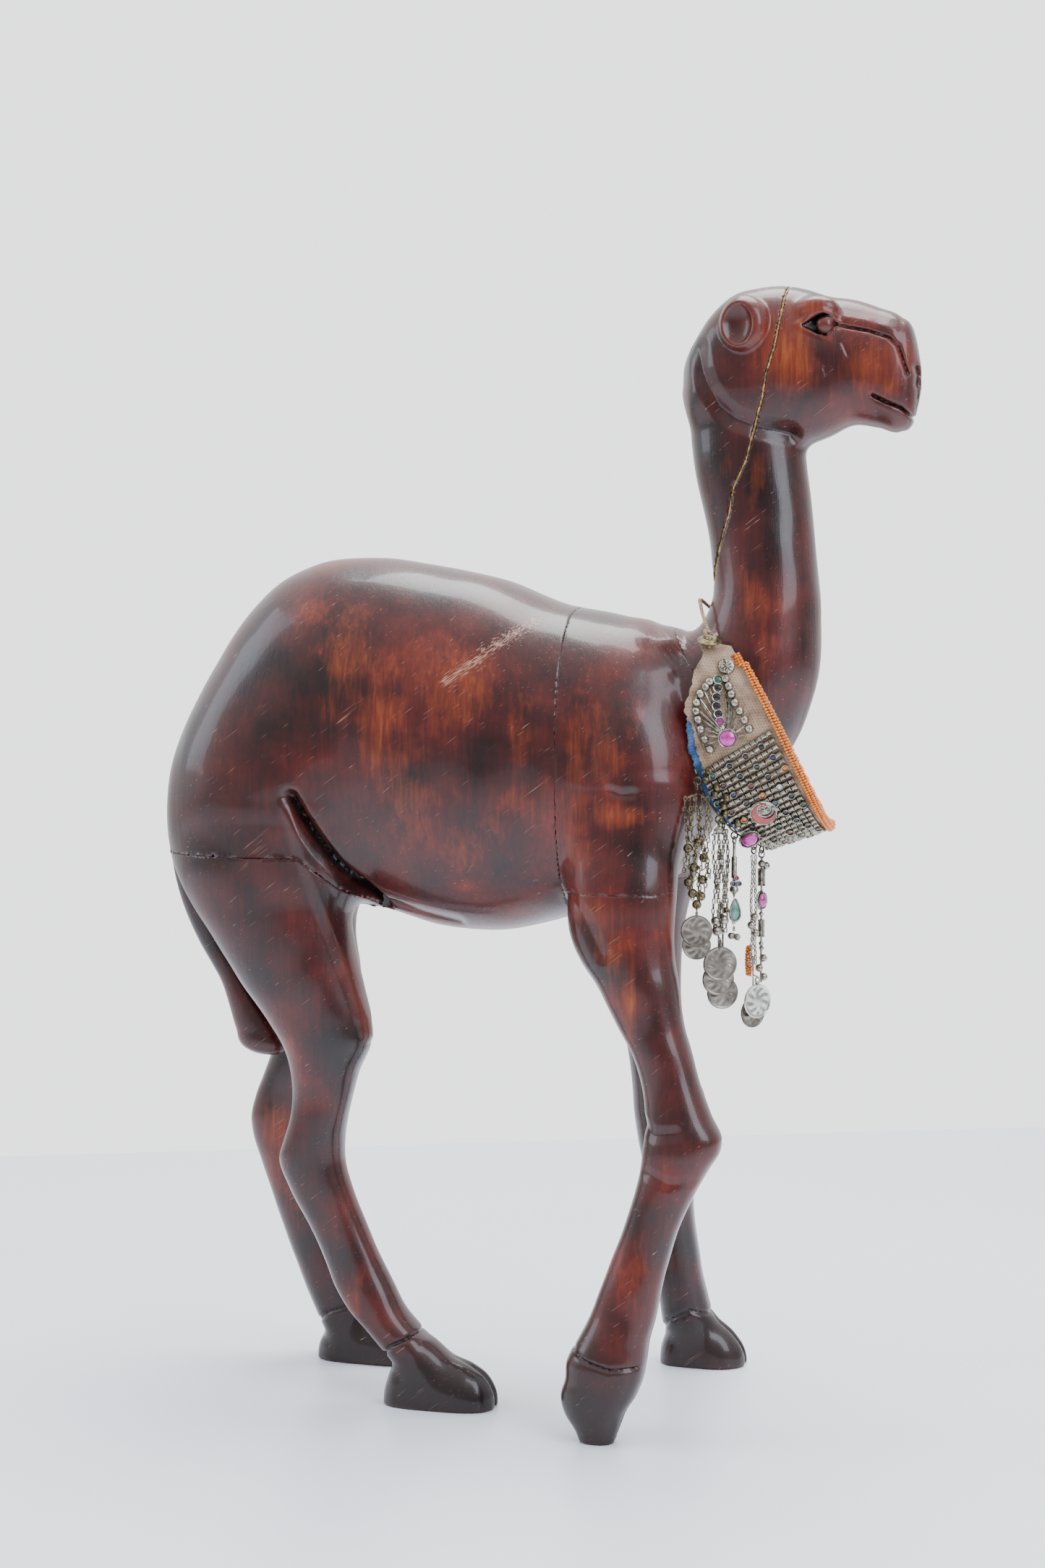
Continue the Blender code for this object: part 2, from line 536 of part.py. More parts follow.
# ================================================================ the choker
class Band:
    """The choker's surface: phi in degrees from the hanging front (0) to the nape (180) on the
    right side, negative on the left; v from the head-side edge (0) to the body-side edge (1)."""

    def __init__(self, wood):
        bm = bmesh.new()
        for obj in wood:
            bm.from_mesh(obj.data)
        bmesh.ops.triangulate(bm, faces=bm.faces)
        self.tree = BVHTree.FromBMesh(bm)
        bm.free()
        self.known = {}

    @staticmethod
    def shape(phi):
        """Width of the band and rise of its body-side edge, eased between the stations."""
        a = min(abs((phi + 180) % 360 - 180), 180.0)
        for (p0, w0, r0), (p1, w1, r1) in zip(BAND_SHAPE, BAND_SHAPE[1:]):
            if a <= p1:
                t = (a - p0) / (p1 - p0)
                t = t * t * (3 - 2 * t) * 0.5 + t * 0.5
                return w0 + (w1 - w0) * t, r0 + (r1 - r0) * t
        return BAND_SHAPE[-1][1:]

    def width(self, phi):
        return self.shape(phi)[0]

    def across(self, phi):
        """Unit direction from the head-side edge to the body-side edge."""
        return Vector((-1.0, 0.0, self.shape(phi)[1])).normalized()

    @staticmethod
    def outward(phi):
        """Direction out of the loop at this angle."""
        a = math.radians(phi)
        return Vector((math.cos(a) * RING_T[0], -math.sin(a), math.cos(a) * RING_T[1]))

    def point(self, phi, v, lift=0.0):
        key = (round(phi, 3), round(v, 4))
        if key not in self.known:
            a = math.radians(phi)
            bow = RING_BULGE * math.sin(a) ** 2
            core = Vector((RING_TOP_C[0] - RING_T[1] * bow, 0, RING_TOP_C[1] + RING_T[0] * bow))
            core += self.across(phi) * self.width(phi) * v
            # the loop hangs askew: its left half is swung back, most at the head-side edge
            swing = FAR_SWING * (1 - 0.9 * min(max(v, 0), 1)) * (0.5 + 0.5 * math.cos(a))
            core.x -= swing * max(-math.sin(a), 0) * (1 - math.exp(-(phi / 8) ** 2))
            wide = RING_B + RING_B_GROW * min(max(v, 0), 1)
            long = RING_A[0] + (RING_A[1] - RING_A[0]) * (0.5 - 0.5 * math.cos(a))
            flat = Vector((math.cos(a) * RING_T[0] * long, -math.sin(a) * wide,
                           math.cos(a) * RING_T[1] * long))
            way = flat.normalized()
            reach = flat.length
            start = (core + way * 260) * MM
            hit = self.tree.ray_cast(start, -way, 0.26)
            if hit[0] is not None:
                wood = ((hit[0] / MM) - core).dot(way)
                reach = max(reach, wood + CLOTH_CLEAR)
            self.known[key] = (core, way, reach)
        core, way, reach = self.known[key]
        return core + way * (reach + lift)

    def normal(self, phi, v):
        along = self.point(phi + 4, v) - self.point(phi - 4, v)
        over = self.point(phi, min(v + 0.1, 1.0)) - self.point(phi, max(v - 0.1, 0.0))
        n = along.cross(over).normalized()
        return n if n.dot(self.outward(phi)) > 0 else -n


def band_sheet(name, band, phis, v0, v1, layer, mat, rows=5):
    """Sheet lying on the band between two distances out, closed all round."""
    vs = spread(v0, v1, rows)
    rings = []
    for phi in phis:
        rings.append([band.point(phi, v, layer[0]) for v in vs]
                     + [band.point(phi, v, layer[1]) for v in reversed(vs)])
    return loft(name, rings, mat)


def on_band(band, phi, v, out):
    """Placement square to the band's face."""
    return facing(band.point(phi, v, out), band.normal(phi, min(v, 0.9)))


def sickle(name, place, mat):
    """Crescent cut from a flat outline of two arcs."""
    outer, inner, offset, mouth, thick = SICKLE
    mouth = math.radians(mouth)
    points = [(outer * math.cos(mouth + t), outer * math.sin(mouth + t))
              for t in [math.radians(a) for a in spread(34, 326, 16)]]
    points += [(offset * math.cos(mouth) + inner * math.cos(mouth + t),
                offset * math.sin(mouth) + inner * math.sin(mouth + t))
               for t in [math.radians(a) for a in spread(311, 49, 12)]]
    curve = bpy.data.curves.new(name, "CURVE")
    curve.dimensions, curve.fill_mode, curve.extrude = "2D", "BOTH", thick / 2 * MM
    curve.resolution_u, curve.render_resolution_u = 1, 0
    spline = curve.splines.new("POLY")
    spline.use_cyclic_u = True
    spline.points.add(len(points) - 1)
    for node, (x, y) in zip(spline.points, points):
        node.co = (x * MM, y * MM, 0, 1)
    obj = bake(put(name, curve))
    paint(obj, mat)
    obj.matrix_world = place @ Matrix.Translation((0, 0, (1.2 + thick / 2) * MM))
    return obj


def build_choker(band, mats):
    """Cloth, woven bead panel, spoked fans and stones, all fixed on the band."""
    metal, dark, magenta = mats["silver"], mats["dark_metal"], mats["glass_magenta"]
    round_neck = spread(-END_PHI, END_PHI, 47)
    band_sheet("lining_cloth", band, round_neck, 0.0, 1.0, LINING, mats["cloth_blue"])
    band_sheet("backing_cloth", band, round_neck[1:-1], 0.03, 0.96, BACKING, mats["cloth_tan"])
    edge = [band.point(p, -EDGING_OUT / band.width(p), EDGING_R + 0.4) for p in round_neck[1:-1]]
    wire_through("bead_edging", edge, [EDGING_R] * len(edge), mats["beads_orange"])
    band_sheet("bead_mesh_panel", band, spread(-PANEL_PHI, PANEL_PHI, 27), 0.07, 0.96, PANEL, metal, rows=4)
    for label, side in (("near", 1), ("far", -1)):
        fan = [side * p for p in spread(PANEL_PHI + 1.0, FAN_END_PHI, 9)]
        band_sheet("spoke_fan_" + label, band, fan, 0.10, 0.92, FAN, metal, rows=3)
        rings = []
        for phi in spread(89.5, 107.5, 7):
            middle, half = 0.60 - (phi - 89.5) / 360, 3.2 / band.width(phi)
            low = [band.point(side * phi, v, BEZEL_ROW[0]) for v in (middle - half, middle + half)]
            high = [band.point(side * phi, v, BEZEL_ROW[1]) for v in (middle + half, middle - half)]
            rings.append(low + high)
        loft("bezel_row_" + label, rings, dark)
        gem = on_band(band, side * GEM_AT[0], *GEM_AT[1:])
        turned("gem_bezel_" + label, CUP, 16, gem, dark)
        turned("gem_" + label, CUP_STONE, 16, gem, magenta)
        turned("rosette_" + label, ROSETTE, 16, on_band(band, side * ROSETTE_AT[0], *ROSETTE_AT[1:]), metal)
    moon = on_band(band, *CRESCENT_AT)
    turned("crescent_cup", CRESCENT_CUP, 24, moon, metal)
    sickle("crescent_enamel", moon, mats["enamel_red"])
    stone = on_band(band, *OVAL_AT)
    turned("oval_bezel", OVAL_CUP, 18, stone, dark, OVAL_SQUASH[0])
    turned("oval_gem", OVAL_STONE, 16, stone, magenta, OVAL_SQUASH[1])
    first, last, v, out = BELLS
    bells = [band.point(phi, v, out) for phi in spread(first, last, 21)]
    wire_through("edge_bells", bells, [(0.8, 2.3, 2.8, 2.3)[k % 4] for k in range(21)], dark)
    turned("nape_button", BUTTON, 16, facing(band.point(*BUTTON_AT), BUTTON_FACES), metal)
    start = END_PHI + 1.5
    tie = [band.point(p, 0.5, TIE_OUT) for p in spread(start, 180, 9) + spread(-180, -start, 9)[1:]]
    wire_through("tie_cord", tie, [TIE_R] * len(tie), mats["cloth_tan"])


def eye_height(z, radius):
    """Height of the stem ring's centre for a coin centred at z."""
    return z + radius + RING_R - SOLDER + LINK + RING_R


def build_stem(name, band, wire):
    """One strand's solids, its hook on the edge wire, and where it swings."""
    phi, out, beads = STRANDS[name]
    level = band.outward(phi)
    level = Vector((level.x, level.y, 0)).normalized()
    across = Vector((-level.y, level.x, 0))
    top = band.point(phi, RIM_V, out)
    if out != RIM_OUT:
        root = band.point(phi, RIM_V, RIM_OUT)
        wire.append(wire_through("arm", [root, top + (top - root).normalized() * SOLDER], [0.8, 0.8]))
    hook = top - UP * RING_R
    wire.append(jump_ring(hook, level))
    pivot = hook - UP * RING_R
    ring = pivot - UP * LINK
    column = Vector((pivot.x, pivot.y, 0))
    beads = [(0.9, ring.z - RING_R + SOLDER)] + beads
    parts = []
    for strand, z, off, radius in COINS.values():
        if strand != name:
            continue
        eye = eye_height(z, radius)
        parts.append(jump_ring(column + level * off + UP * eye, level))
        if off:
            high = column + UP * (eye + RING_R)
            parts.append(wire_through("arm", [high, high + level * (off + SOLDER)], [WIRE_R, WIRE_R]))
        else:
            beads.append((1.2, eye + RING_R - SOLDER))
    stem = wire_through("stem", [column + UP * z for _, z in beads], [r for r, _ in beads])
    return [stem, jump_ring(ring, across)] + parts, column, level, across, pivot


def build_strands(band, mats):
    """Stems that swing from rings on the edge wire, and coins that swing from the stems."""
    rim = [band.point(p, RIM_V, RIM_OUT) for p in spread(69, 5, 15)]
    wire = [wire_through("wire", rim, [0.9] * len(rim))]
    stems = {}
    for name in STRANDS:
        parts, column, level, across, pivot = build_stem(name, band, wire)
        stem = unite(name, parts, mats["silver"])
        hang_from(stem, pivot)
        stems[name] = (stem, column, level, across)
    unite("edge_wire", wire, mats["dark_metal"])
    for name, (strand, z, off, radius) in COINS.items():
        stem, column, level, across = stems[strand]
        centre = column + level * off + UP * z
        disc = primitive("disc", bpy.ops.mesh.primitive_cylinder_add, vertices=24, radius=radius * MM,
                         depth=COIN_T * MM)
        disc.matrix_world = facing(centre, level)
        eye = jump_ring(centre + UP * (radius + RING_R - SOLDER), across)
        coin = unite(name, [disc, eye], mats["silver"])
        hang_from(coin, centre + UP * (radius + RING_R - SOLDER + LINK))
        ride(coin, stem)
    stem, column, level, across = stems["strand_drop"]
    ride(turned("drop_gem", DROP_STONE, 12, facing(column + UP * DROP_TOP_Z, UP), mats["glass_green"]), stem)
    stem, column, level, across = stems["strand_tubes"]
    ride(turned("tubes_gem", SIDE_STONE, 14, facing(column + UP * SIDE_STONE_Z, level),
                mats["glass_magenta"]), stem)
    tail = wire_through("tubes_tail", [column + UP * z for _, z in TUBES_TAIL], [r for r, _ in TUBES_TAIL],
                        mats["silver"])
    ride(tail, stem)
    stem, column, level, across = stems["strand_long"]
    thread = column - level * TASSEL_BACK
    tassel = wire_through("bead_tassel", [thread + UP * z for _, z in TASSEL], [r for r, _ in TASSEL],
                          mats["beads_orange"])
    ride(tassel, stem)


# ================================================================ build
def main():
    for obj in list(bpy.data.objects):
        bpy.data.objects.remove(obj, do_unlink=True)
    parts = collection(CAMEL)
    mats = {name: material(name, *look) for name, look in LOOKS.items()}
    form = wooden_form()
    blocks = cut_blocks(form, mats["wood_dark"], mats["filler"])
    drop(form)
    for name, (start, end, pair) in DOWELS.items():
        dowel(name, start, end, [blocks[p] for p in pair], mats["wood_dowel"])
    for block in blocks.values():
        edit(block, biggest_island)
    band = Band(blocks.values())
    build_choker(band, mats)
    build_strands(band, mats)
    middle = bpy.data.objects.new("middle_of_the_base", None)
    bpy.context.scene.collection.objects.link(middle)
    for obj in parts.objects:
        if obj.parent is None:
            obj.parent = middle
    middle.location = Vector(BASE_MIDDLE) * -MM


main()
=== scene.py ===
"""Finished look of a carved wooden camel that wears a jewelled choker of cloth, beads and coins.

The wood is carved as a signed distance field, sampled on a grid and skinned. The choker's pieces
are surfaces over two parameters, laid on the band that runs round the camel's neck.
Sizes are in millimetres on the carver's bench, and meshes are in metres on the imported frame.
"""
from __future__ import annotations

import json
import logging
import math
from dataclasses import dataclass, field
from enum import Enum
from typing import Callable, Iterable

import bpy
import numpy as np
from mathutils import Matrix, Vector
from mathutils.bvhtree import BVHTree

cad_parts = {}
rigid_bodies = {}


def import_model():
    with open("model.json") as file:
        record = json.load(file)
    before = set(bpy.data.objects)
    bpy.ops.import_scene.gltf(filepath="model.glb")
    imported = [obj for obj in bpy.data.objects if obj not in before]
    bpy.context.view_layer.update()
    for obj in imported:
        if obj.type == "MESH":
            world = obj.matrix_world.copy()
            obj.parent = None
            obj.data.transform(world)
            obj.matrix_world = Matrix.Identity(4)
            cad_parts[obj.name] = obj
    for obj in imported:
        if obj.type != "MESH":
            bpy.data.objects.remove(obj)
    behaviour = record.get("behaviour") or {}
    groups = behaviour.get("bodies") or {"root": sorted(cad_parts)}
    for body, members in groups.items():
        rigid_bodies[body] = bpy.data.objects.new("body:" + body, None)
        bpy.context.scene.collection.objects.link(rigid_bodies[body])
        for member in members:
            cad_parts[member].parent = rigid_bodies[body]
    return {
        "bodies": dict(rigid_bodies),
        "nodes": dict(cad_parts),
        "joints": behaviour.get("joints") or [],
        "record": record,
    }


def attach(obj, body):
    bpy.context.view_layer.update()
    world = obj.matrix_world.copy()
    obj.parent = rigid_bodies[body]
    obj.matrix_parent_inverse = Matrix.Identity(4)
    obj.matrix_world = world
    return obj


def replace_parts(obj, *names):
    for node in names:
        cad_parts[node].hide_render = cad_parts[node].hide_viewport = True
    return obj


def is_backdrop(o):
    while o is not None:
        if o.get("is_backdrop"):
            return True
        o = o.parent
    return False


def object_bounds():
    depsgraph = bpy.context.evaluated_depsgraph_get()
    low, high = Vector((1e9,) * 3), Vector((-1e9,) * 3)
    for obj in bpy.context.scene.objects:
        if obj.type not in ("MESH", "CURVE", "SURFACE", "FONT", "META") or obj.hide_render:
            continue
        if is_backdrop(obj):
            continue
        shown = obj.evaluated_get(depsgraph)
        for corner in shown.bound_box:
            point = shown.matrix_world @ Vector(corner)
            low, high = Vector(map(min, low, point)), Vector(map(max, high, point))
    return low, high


LOG = logging.getLogger("camel")
MM = 0.001
BENCH = np.array([-8.282, 3.477, 0.0])  # from the bench's origin to the middle of the camel's base, mm
Array = np.ndarray
Field = Callable[[Array], Array]
Node, Socket, Tree = bpy.types.Node, bpy.types.NodeSocket, bpy.types.NodeTree
Object = bpy.types.Object


class Side(Enum):
    """Which flank a feature is on."""

    NEAR = -1
    FAR = 1
    BOTH = 0


# ---------------------------------------------------------------- distance fields
def smooth_min(a: Array, b: Array, k: float) -> Array:
    """Blend two distances: the smaller, less k/4 times the square of how nearly they tie within k."""
    h = np.maximum(k - np.abs(a - b), 0) / k
    return np.minimum(a, b) - h * h * (k * 0.25)


def smooth_max(a: Array, b: Array, k: float) -> Array:
    """Blend two distances at a common edge of radius about k."""
    return -smooth_min(-a, -b, k)


def ease(x: Array) -> Array:
    """Smooth step from 0 to 1: 3 x squared less 2 x cubed, held outside that range."""
    x = np.clip(x, 0, 1)
    return x * x * (3 - 2 * x)


def unit(rows: Array) -> Array:
    """Each row divided by its length."""
    return rows / (np.linalg.norm(rows, axis=-1, keepdims=True) + 1e-9)


def run_along(path: Array) -> Array:
    """Distance along a path of points to each of them: the running sum of the steps between them."""
    return np.r_[0, np.cumsum(np.linalg.norm(np.diff(path, axis=0), axis=1))]


def turn_round(steps: int) -> Array:
    """Angles that share out one full turn."""
    return np.arange(steps) * 2 * np.pi / steps


def through(t: Array, rows: Array) -> Array:
    """Cubic Hermite curve through rows of (knot, values...), its slopes from neighbouring knots.

    Args:
        t: where to read the curve.
        rows: table whose first column holds the knots.

    Returns:
        One row of values for each t.
    """
    rows = rows[np.argsort(rows[:, 0])]
    knots, values = rows[:, 0], rows[:, 1:]
    slope = np.gradient(values, knots, axis=0)
    t = np.clip(t, knots[0], knots[-1])
    i = np.clip(np.searchsorted(knots, t) - 1, 0, len(knots) - 2)
    h = (knots[i + 1] - knots[i])[:, None]
    s = ((t - knots[i]) / h[:, 0])[:, None]
    return ((1 + 2 * s) * (1 - s) ** 2 * values[i] + s * (1 - s) ** 2 * h * slope[i]
            + s * s * (3 - 2 * s) * values[i + 1] + s * s * (s - 1) * h * slope[i + 1])


def oval_distance(u: Array, v: Array, a: Array, b: Array, power: float) -> Array:
    """Distance along the radius to a superellipse of half sizes a and b: r less r over its norm."""
    r = np.hypot(u, v) + 1e-6
    q = (np.abs(u / a) ** power + np.abs(v / b) ** power) ** (1 / power) + 1e-6
    return np.maximum(r - r / q, -np.minimum(a, b))


def path_distance(x: Array, z: Array, path: Array) -> Array:
    """Least distance from each (x, z) to an open path of straight pieces."""
    best = np.full(x.shape, 1e9)
    for (x0, z0), (x1, z1) in zip(path, path[1:]):
        dx, dz = x1 - x0, z1 - z0
        t = np.clip(((x - x0) * dx + (z - z0) * dz) / (dx * dx + dz * dz), 0, 1)
        best = np.minimum(best, (x - x0 - t * dx) ** 2 + (z - z0 - t * dz) ** 2)
    return np.sqrt(best)


def outline_distance(x: Array, z: Array, outline: Array) -> Array:
    """Signed distance to a closed (x, z) outline, negative inside, by counting edge crossings."""
    ring = np.vstack([outline, outline[:1]])
    inside = np.zeros(x.shape, bool)
    for (x0, z0), (x1, z1) in zip(ring, ring[1:]):
        if z0 != z1:
            spans = (z < z0) != (z < z1)
            inside ^= spans & (x < x0 + (z - z0) * (x1 - x0) / (z1 - z0))
    return path_distance(x, z, ring) * np.where(inside, -1, 1)


@dataclass
class Form:
    """One roughed-out mass of the camel: a field, its blend into the rest, and its reach."""

    blend: float
    REACH = 14.0  # how far outside its box a mass is still worked out, mm

    def limits(self) -> tuple[Array, Array]:
        """Lowest and highest corner of the mass, mm."""
        raise NotImplementedError

    def distance(self, p: Array) -> Array:
        """Signed distance from each point to the mass, mm."""
        raise NotImplementedError

    def join(self, so_far: Array, p: Array) -> Array:
        """Blend this mass into the distances so far, where it can reach.

        Args:
            so_far: distances to what is carved already.
            p: the points, mm.

        Returns:
            The blended distances.
        """
        low, high = self.limits()
        margin = self.blend + self.REACH
        near = np.all((p > low - margin) & (p < high + margin), axis=1)
        out = so_far.copy()
        out[near] = smooth_min(so_far[near], self.distance(p[near]), self.blend)
        return out


@dataclass
class Limb(Form):
    """Leg or tail with level sections: z, then x and y of the middle, half depth and half width."""

    rows: Array
    power: float = 2.3
    round_end: float = 6.0

    def limits(self) -> tuple[Array, Array]:
        """Box round every section."""
        z, x, y, a, b = self.rows.T
        return (np.array([(x - a).min(), (y - b).min(), z.min()]),
                np.array([(x + a).max(), (y + b).max(), z.max()]))

    def distance(self, p: Array) -> Array:
        """Distance in the level section, less the lean of the limb, closed at both ends."""
        x, y, a, b = through(p[:, 2], self.rows).T
        lean = (through(p[:, 2] + 1, self.rows)[:, 0] - through(p[:, 2] - 1, self.rows)[:, 0]) / 2
        d = oval_distance(p[:, 0] - x, p[:, 1] - y, a, b, self.power) / np.sqrt(1 + lean * lean)
        end = np.maximum(p[:, 2] - self.rows[:, 0].max(), self.rows[:, 0].min() - p[:, 2])
        return smooth_max(d, end, self.round_end)


@dataclass
class Trunk(Form):
    """Mass with upright sections: x, top z, bottom z and half width."""

    rows: Array
    power: float = 2.25
    round_end: float = 12.0
    middle_y: float = 0.0

    def limits(self) -> tuple[Array, Array]:
        """Box round every section."""
        x, top, bottom, w = self.rows.T
        return (np.array([x.min(), self.middle_y - w.max(), bottom.min()]),
                np.array([x.max(), self.middle_y + w.max(), top.max()]))

    def distance(self, p: Array) -> Array:
        """Distance in the upright section, closed at both ends."""
        top, bottom, w = through(p[:, 0], self.rows).T
        d = oval_distance(p[:, 2] - (top + bottom) / 2, p[:, 1] - self.middle_y,
                          (top - bottom) / 2, w, self.power)
        end = np.maximum(p[:, 0] - self.rows[:, 0].max(), self.rows[:, 0].min() - p[:, 0])
        return smooth_max(d, end, self.round_end)


@dataclass
class Hoof(Form):
    """Flat-soled hoof: upright sections x, top z and half width, and its middle y."""

    table: tuple[list[tuple[float, float, float]], float]
    power: float = 2.4

    def limits(self) -> tuple[Array, Array]:
        """Box round the hoof."""
        x, top, w = np.array(self.table[0], float).T
        y = self.table[1]
        return np.array([x.min(), y - w.max(), 0]), np.array([x.max(), y + w.max(), top.max()])

    def distance(self, p: Array) -> Array:
        """Distance in the upright half section, cut level at the floor."""
        rows = np.array(self.table[0], float)
        top, w = through(p[:, 0], rows).T
        d = oval_distance(np.maximum(p[:, 2], 0), p[:, 1] - self.table[1], top, w, self.power)
        end = np.maximum(p[:, 0] - rows[:, 0].max(), rows[:, 0].min() - p[:, 0])
        return smooth_max(smooth_max(d, end, 5.0), -p[:, 2], 2.0)


@dataclass
class Neck(Form):
    """Mass swept along a line in the XZ plane: x, z, half depth in that plane and half width."""

    rows: Array
    power: float = 2.1
    stations: int = 60

    def limits(self) -> tuple[Array, Array]:
        """Box round every section."""
        x, z, a, b = self.rows.T
        return (np.array([(x - a).min(), -b.max(), (z - a).min()]),
                np.array([(x + a).max(), b.max(), (z + a).max()]))

    def distance(self, p: Array) -> Array:
        """Distance in the section whose plane holds the point: the nearest station's, slid along to it."""
        run = run_along(self.rows[:, :2])
        t = np.linspace(0, run[-1], self.stations)
        line = through(t, np.column_stack([run, self.rows]))
        x, z = p[:, 0], p[:, 2]
        best, at = np.full(x.shape, 1e9), np.zeros(x.shape, int)
        for i, (cx, cz) in enumerate(line[:, :2]):
            gap = (x - cx) ** 2 + (z - cz) ** 2
            nearer = gap < best
            best[nearer], at[nearer] = gap[nearer], i
        way = unit(np.gradient(line[:, :2], axis=0))
        slid = t[at]
        for _ in range(4):
            slid = np.clip(slid, 0, run[-1])
            cx, cz, a, b = (np.interp(slid, t, line[:, j]) for j in range(4))
            wx, wz = (np.interp(slid, t, way[:, j]) for j in range(2))
            slid = slid + 0.8 * ((x - cx) * wx + (z - cz) * wz)
        over = np.maximum(slid - run[-1], -slid)
        d = oval_distance((x - cx) * -wz + (z - cz) * wx, p[:, 1], a, b, self.power)
        return smooth_max(d, over, 10.0)


@dataclass
class Lump(Form):
    """Ellipsoid on one flank or on both."""

    centre: Array
    radii: Array

    def limits(self) -> tuple[Array, Array]:
        """Box round the lump and its mirror image."""
        low, high = self.centre - self.radii, self.centre + self.radii
        return np.array([low[0], -high[1], low[2]]), np.array([high[0], high[1], high[2]])

    def distance(self, p: Array) -> Array:
        """Ellipsoid distance k0 (k0 - 1) / k1 with |y|, so both flanks have it."""
        q = (np.column_stack([p[:, 0], np.abs(p[:, 1]), p[:, 2]]) - self.centre) / self.radii
        k0 = np.sqrt((q * q).sum(1))
        k1 = np.sqrt(((q / self.radii) ** 2).sum(1)) + 1e-6
        return k0 * (k0 - 1) / k1


@dataclass
class Cut:
    """A chisel line on the flanks: its (x, z) path, half width, depth (less than 0 stands proud)."""

    path: Array
    half_width: float
    depth: float
    side: Side = Side.BOTH
    least_y: float = 4.0
    sharp: float = 1.6

    def offset(self, p: Array) -> Array:
        """How far the surface moves inwards: depth times one less distance over width, to a power."""
        low = self.path.min(0) - self.half_width
        high = self.path.max(0) + self.half_width
        x, y, z = p.T
        lateral = np.abs(y) if self.side is Side.BOTH else y * self.side.value
        near = ((x > low[0]) & (x < high[0]) & (z > low[1]) & (z < high[1]) & (lateral > self.least_y))
        out = np.zeros(len(p))
        d = path_distance(x[near], z[near], self.path) / self.half_width
        out[near] = self.depth * np.clip(1 - d, 0, 1) ** self.sharp
        return out


@dataclass
class Saw:
    """Saw block: an (x, z) outline between two y values."""

    outline: Array
    low_y: float = -200.0
    high_y: float = 200.0

    def distance(self, p: Array) -> Array:
        """Largest of the distances to the outline and to the two flat sides."""
        return np.maximum(outline_distance(p[:, 0], p[:, 2], self.outline),
                          np.maximum(p[:, 1] - self.high_y, self.low_y - p[:, 1]))


# ---------------------------------------------------------------- skinning
def sample_near(distance: Field, low: Array, high: Array, step: float) -> Array:
    """Sample a field on a grid, fully only in the coarse cells that the surface may cross.

    Args:
        distance: the field.
        low: lowest corner of the grid, mm.
        high: highest corner, mm.
        step: spacing of the grid, mm.

    Returns:
        Distances at the grid's nodes; far from the surface only their sign is right.
    """
    span = 4
    count = np.ceil((high - low) / (span * step)).astype(int)
    middles = low + (np.indices(count).reshape(3, -1).T + 0.5) * (span * step)
    coarse = distance(middles).reshape(count)
    near = np.abs(coarse) < 6.5 * step
    for axis in range(3):
        coarse = np.repeat(coarse, span, axis)
        near = np.repeat(near, span, axis)
    grid = np.pad(coarse, ((0, 1),) * 3, mode="edge")
    nodes = np.pad(near, ((0, 1),) * 3)
    for axis in range(3):
        nodes |= np.roll(nodes, 1, axis)
    grid[nodes] = distance(low + np.argwhere(nodes) * step)
    return grid


def skin(grid: Array, low: Array, step: float) -> tuple[Array, Array]:
    """Surface nets: one vertex in each cell that the surface crosses, at the mean of its crossings,
    and one quad across each grid edge whose ends differ in sign.

    Args:
        grid: distances at the nodes.
        low: position of the first node, mm.
        step: spacing, mm.

    Returns:
        Vertices in mm, and quads of vertex numbers facing outwards.
    """
    inside = grid < 0
    corners = [np.array([i, j, k]) for i in (0, 1) for j in (0, 1) for k in (0, 1)]
    total = sum(inside[c[0]:grid.shape[0] - 1 + c[0], c[1]:grid.shape[1] - 1 + c[1],
                       c[2]:grid.shape[2] - 1 + c[2]].astype(np.int8) for c in corners)
    mixed = (total > 0) & (total < 8)
    cell = np.argwhere(mixed)
    number = np.full(mixed.shape, -1)
    number[mixed] = np.arange(len(cell))
    place, hits = np.zeros((len(cell), 3)), np.zeros(len(cell))
    for a in corners:
        for axis in range(3):
            if a[axis]:
                continue
            b = a.copy()
            b[axis] = 1
            at_a = grid[tuple((cell + a).T)]
            at_b = grid[tuple((cell + b).T)]
            crossed = (at_a < 0) != (at_b < 0)
            t = at_a[crossed] / (at_a[crossed] - at_b[crossed])
            place[crossed] += a + t[:, None] * (b - a)
            hits += crossed
    verts = low + (cell + place / hits[:, None]) * step
    quads = []
    for axis in range(3):
        u, w = (axis + 1) % 3, (axis + 2) % 3
        first = np.take(inside, range(grid.shape[axis] - 1), axis)
        second = np.take(inside, range(1, grid.shape[axis]), axis)
        edge = np.argwhere(first != second)
        edge = edge[(edge[:, u] > 0) & (edge[:, w] > 0)
                    & (edge[:, u] < mixed.shape[u]) & (edge[:, w] < mixed.shape[w])]
        ring = []
        for du, dw in ((1, 1), (0, 1), (0, 0), (1, 0)):
            around = edge.copy()
            around[:, u] -= du
            around[:, w] -= dw
            ring.append(number[tuple(around.T)])
        ring = np.array(ring).T
        outwards = first[tuple(edge.T)]
        quads.append(np.where(outwards[:, None], ring, ring[:, ::-1]))
    return verts, np.vstack(quads)


def settle(verts: Array, distance: Field, step: float) -> tuple[Array, Array]:
    """Move vertices onto the surface along the field's gradient (one Newton step).

    Args:
        verts: points near the surface, mm.
        distance: the field.
        step: grid spacing, mm; no point moves further than this.

    Returns:
        The settled points and the unit normals.
    """
    here = distance(verts)
    reach = 0.3 * step
    gradient = np.column_stack([distance(verts + reach * axis) - here for axis in np.eye(3)]) / reach
    size = np.linalg.norm(gradient, axis=1) + 1e-6
    normal = gradient / size[:, None]
    return verts - np.clip(here / size, -step, step)[:, None] * normal, normal


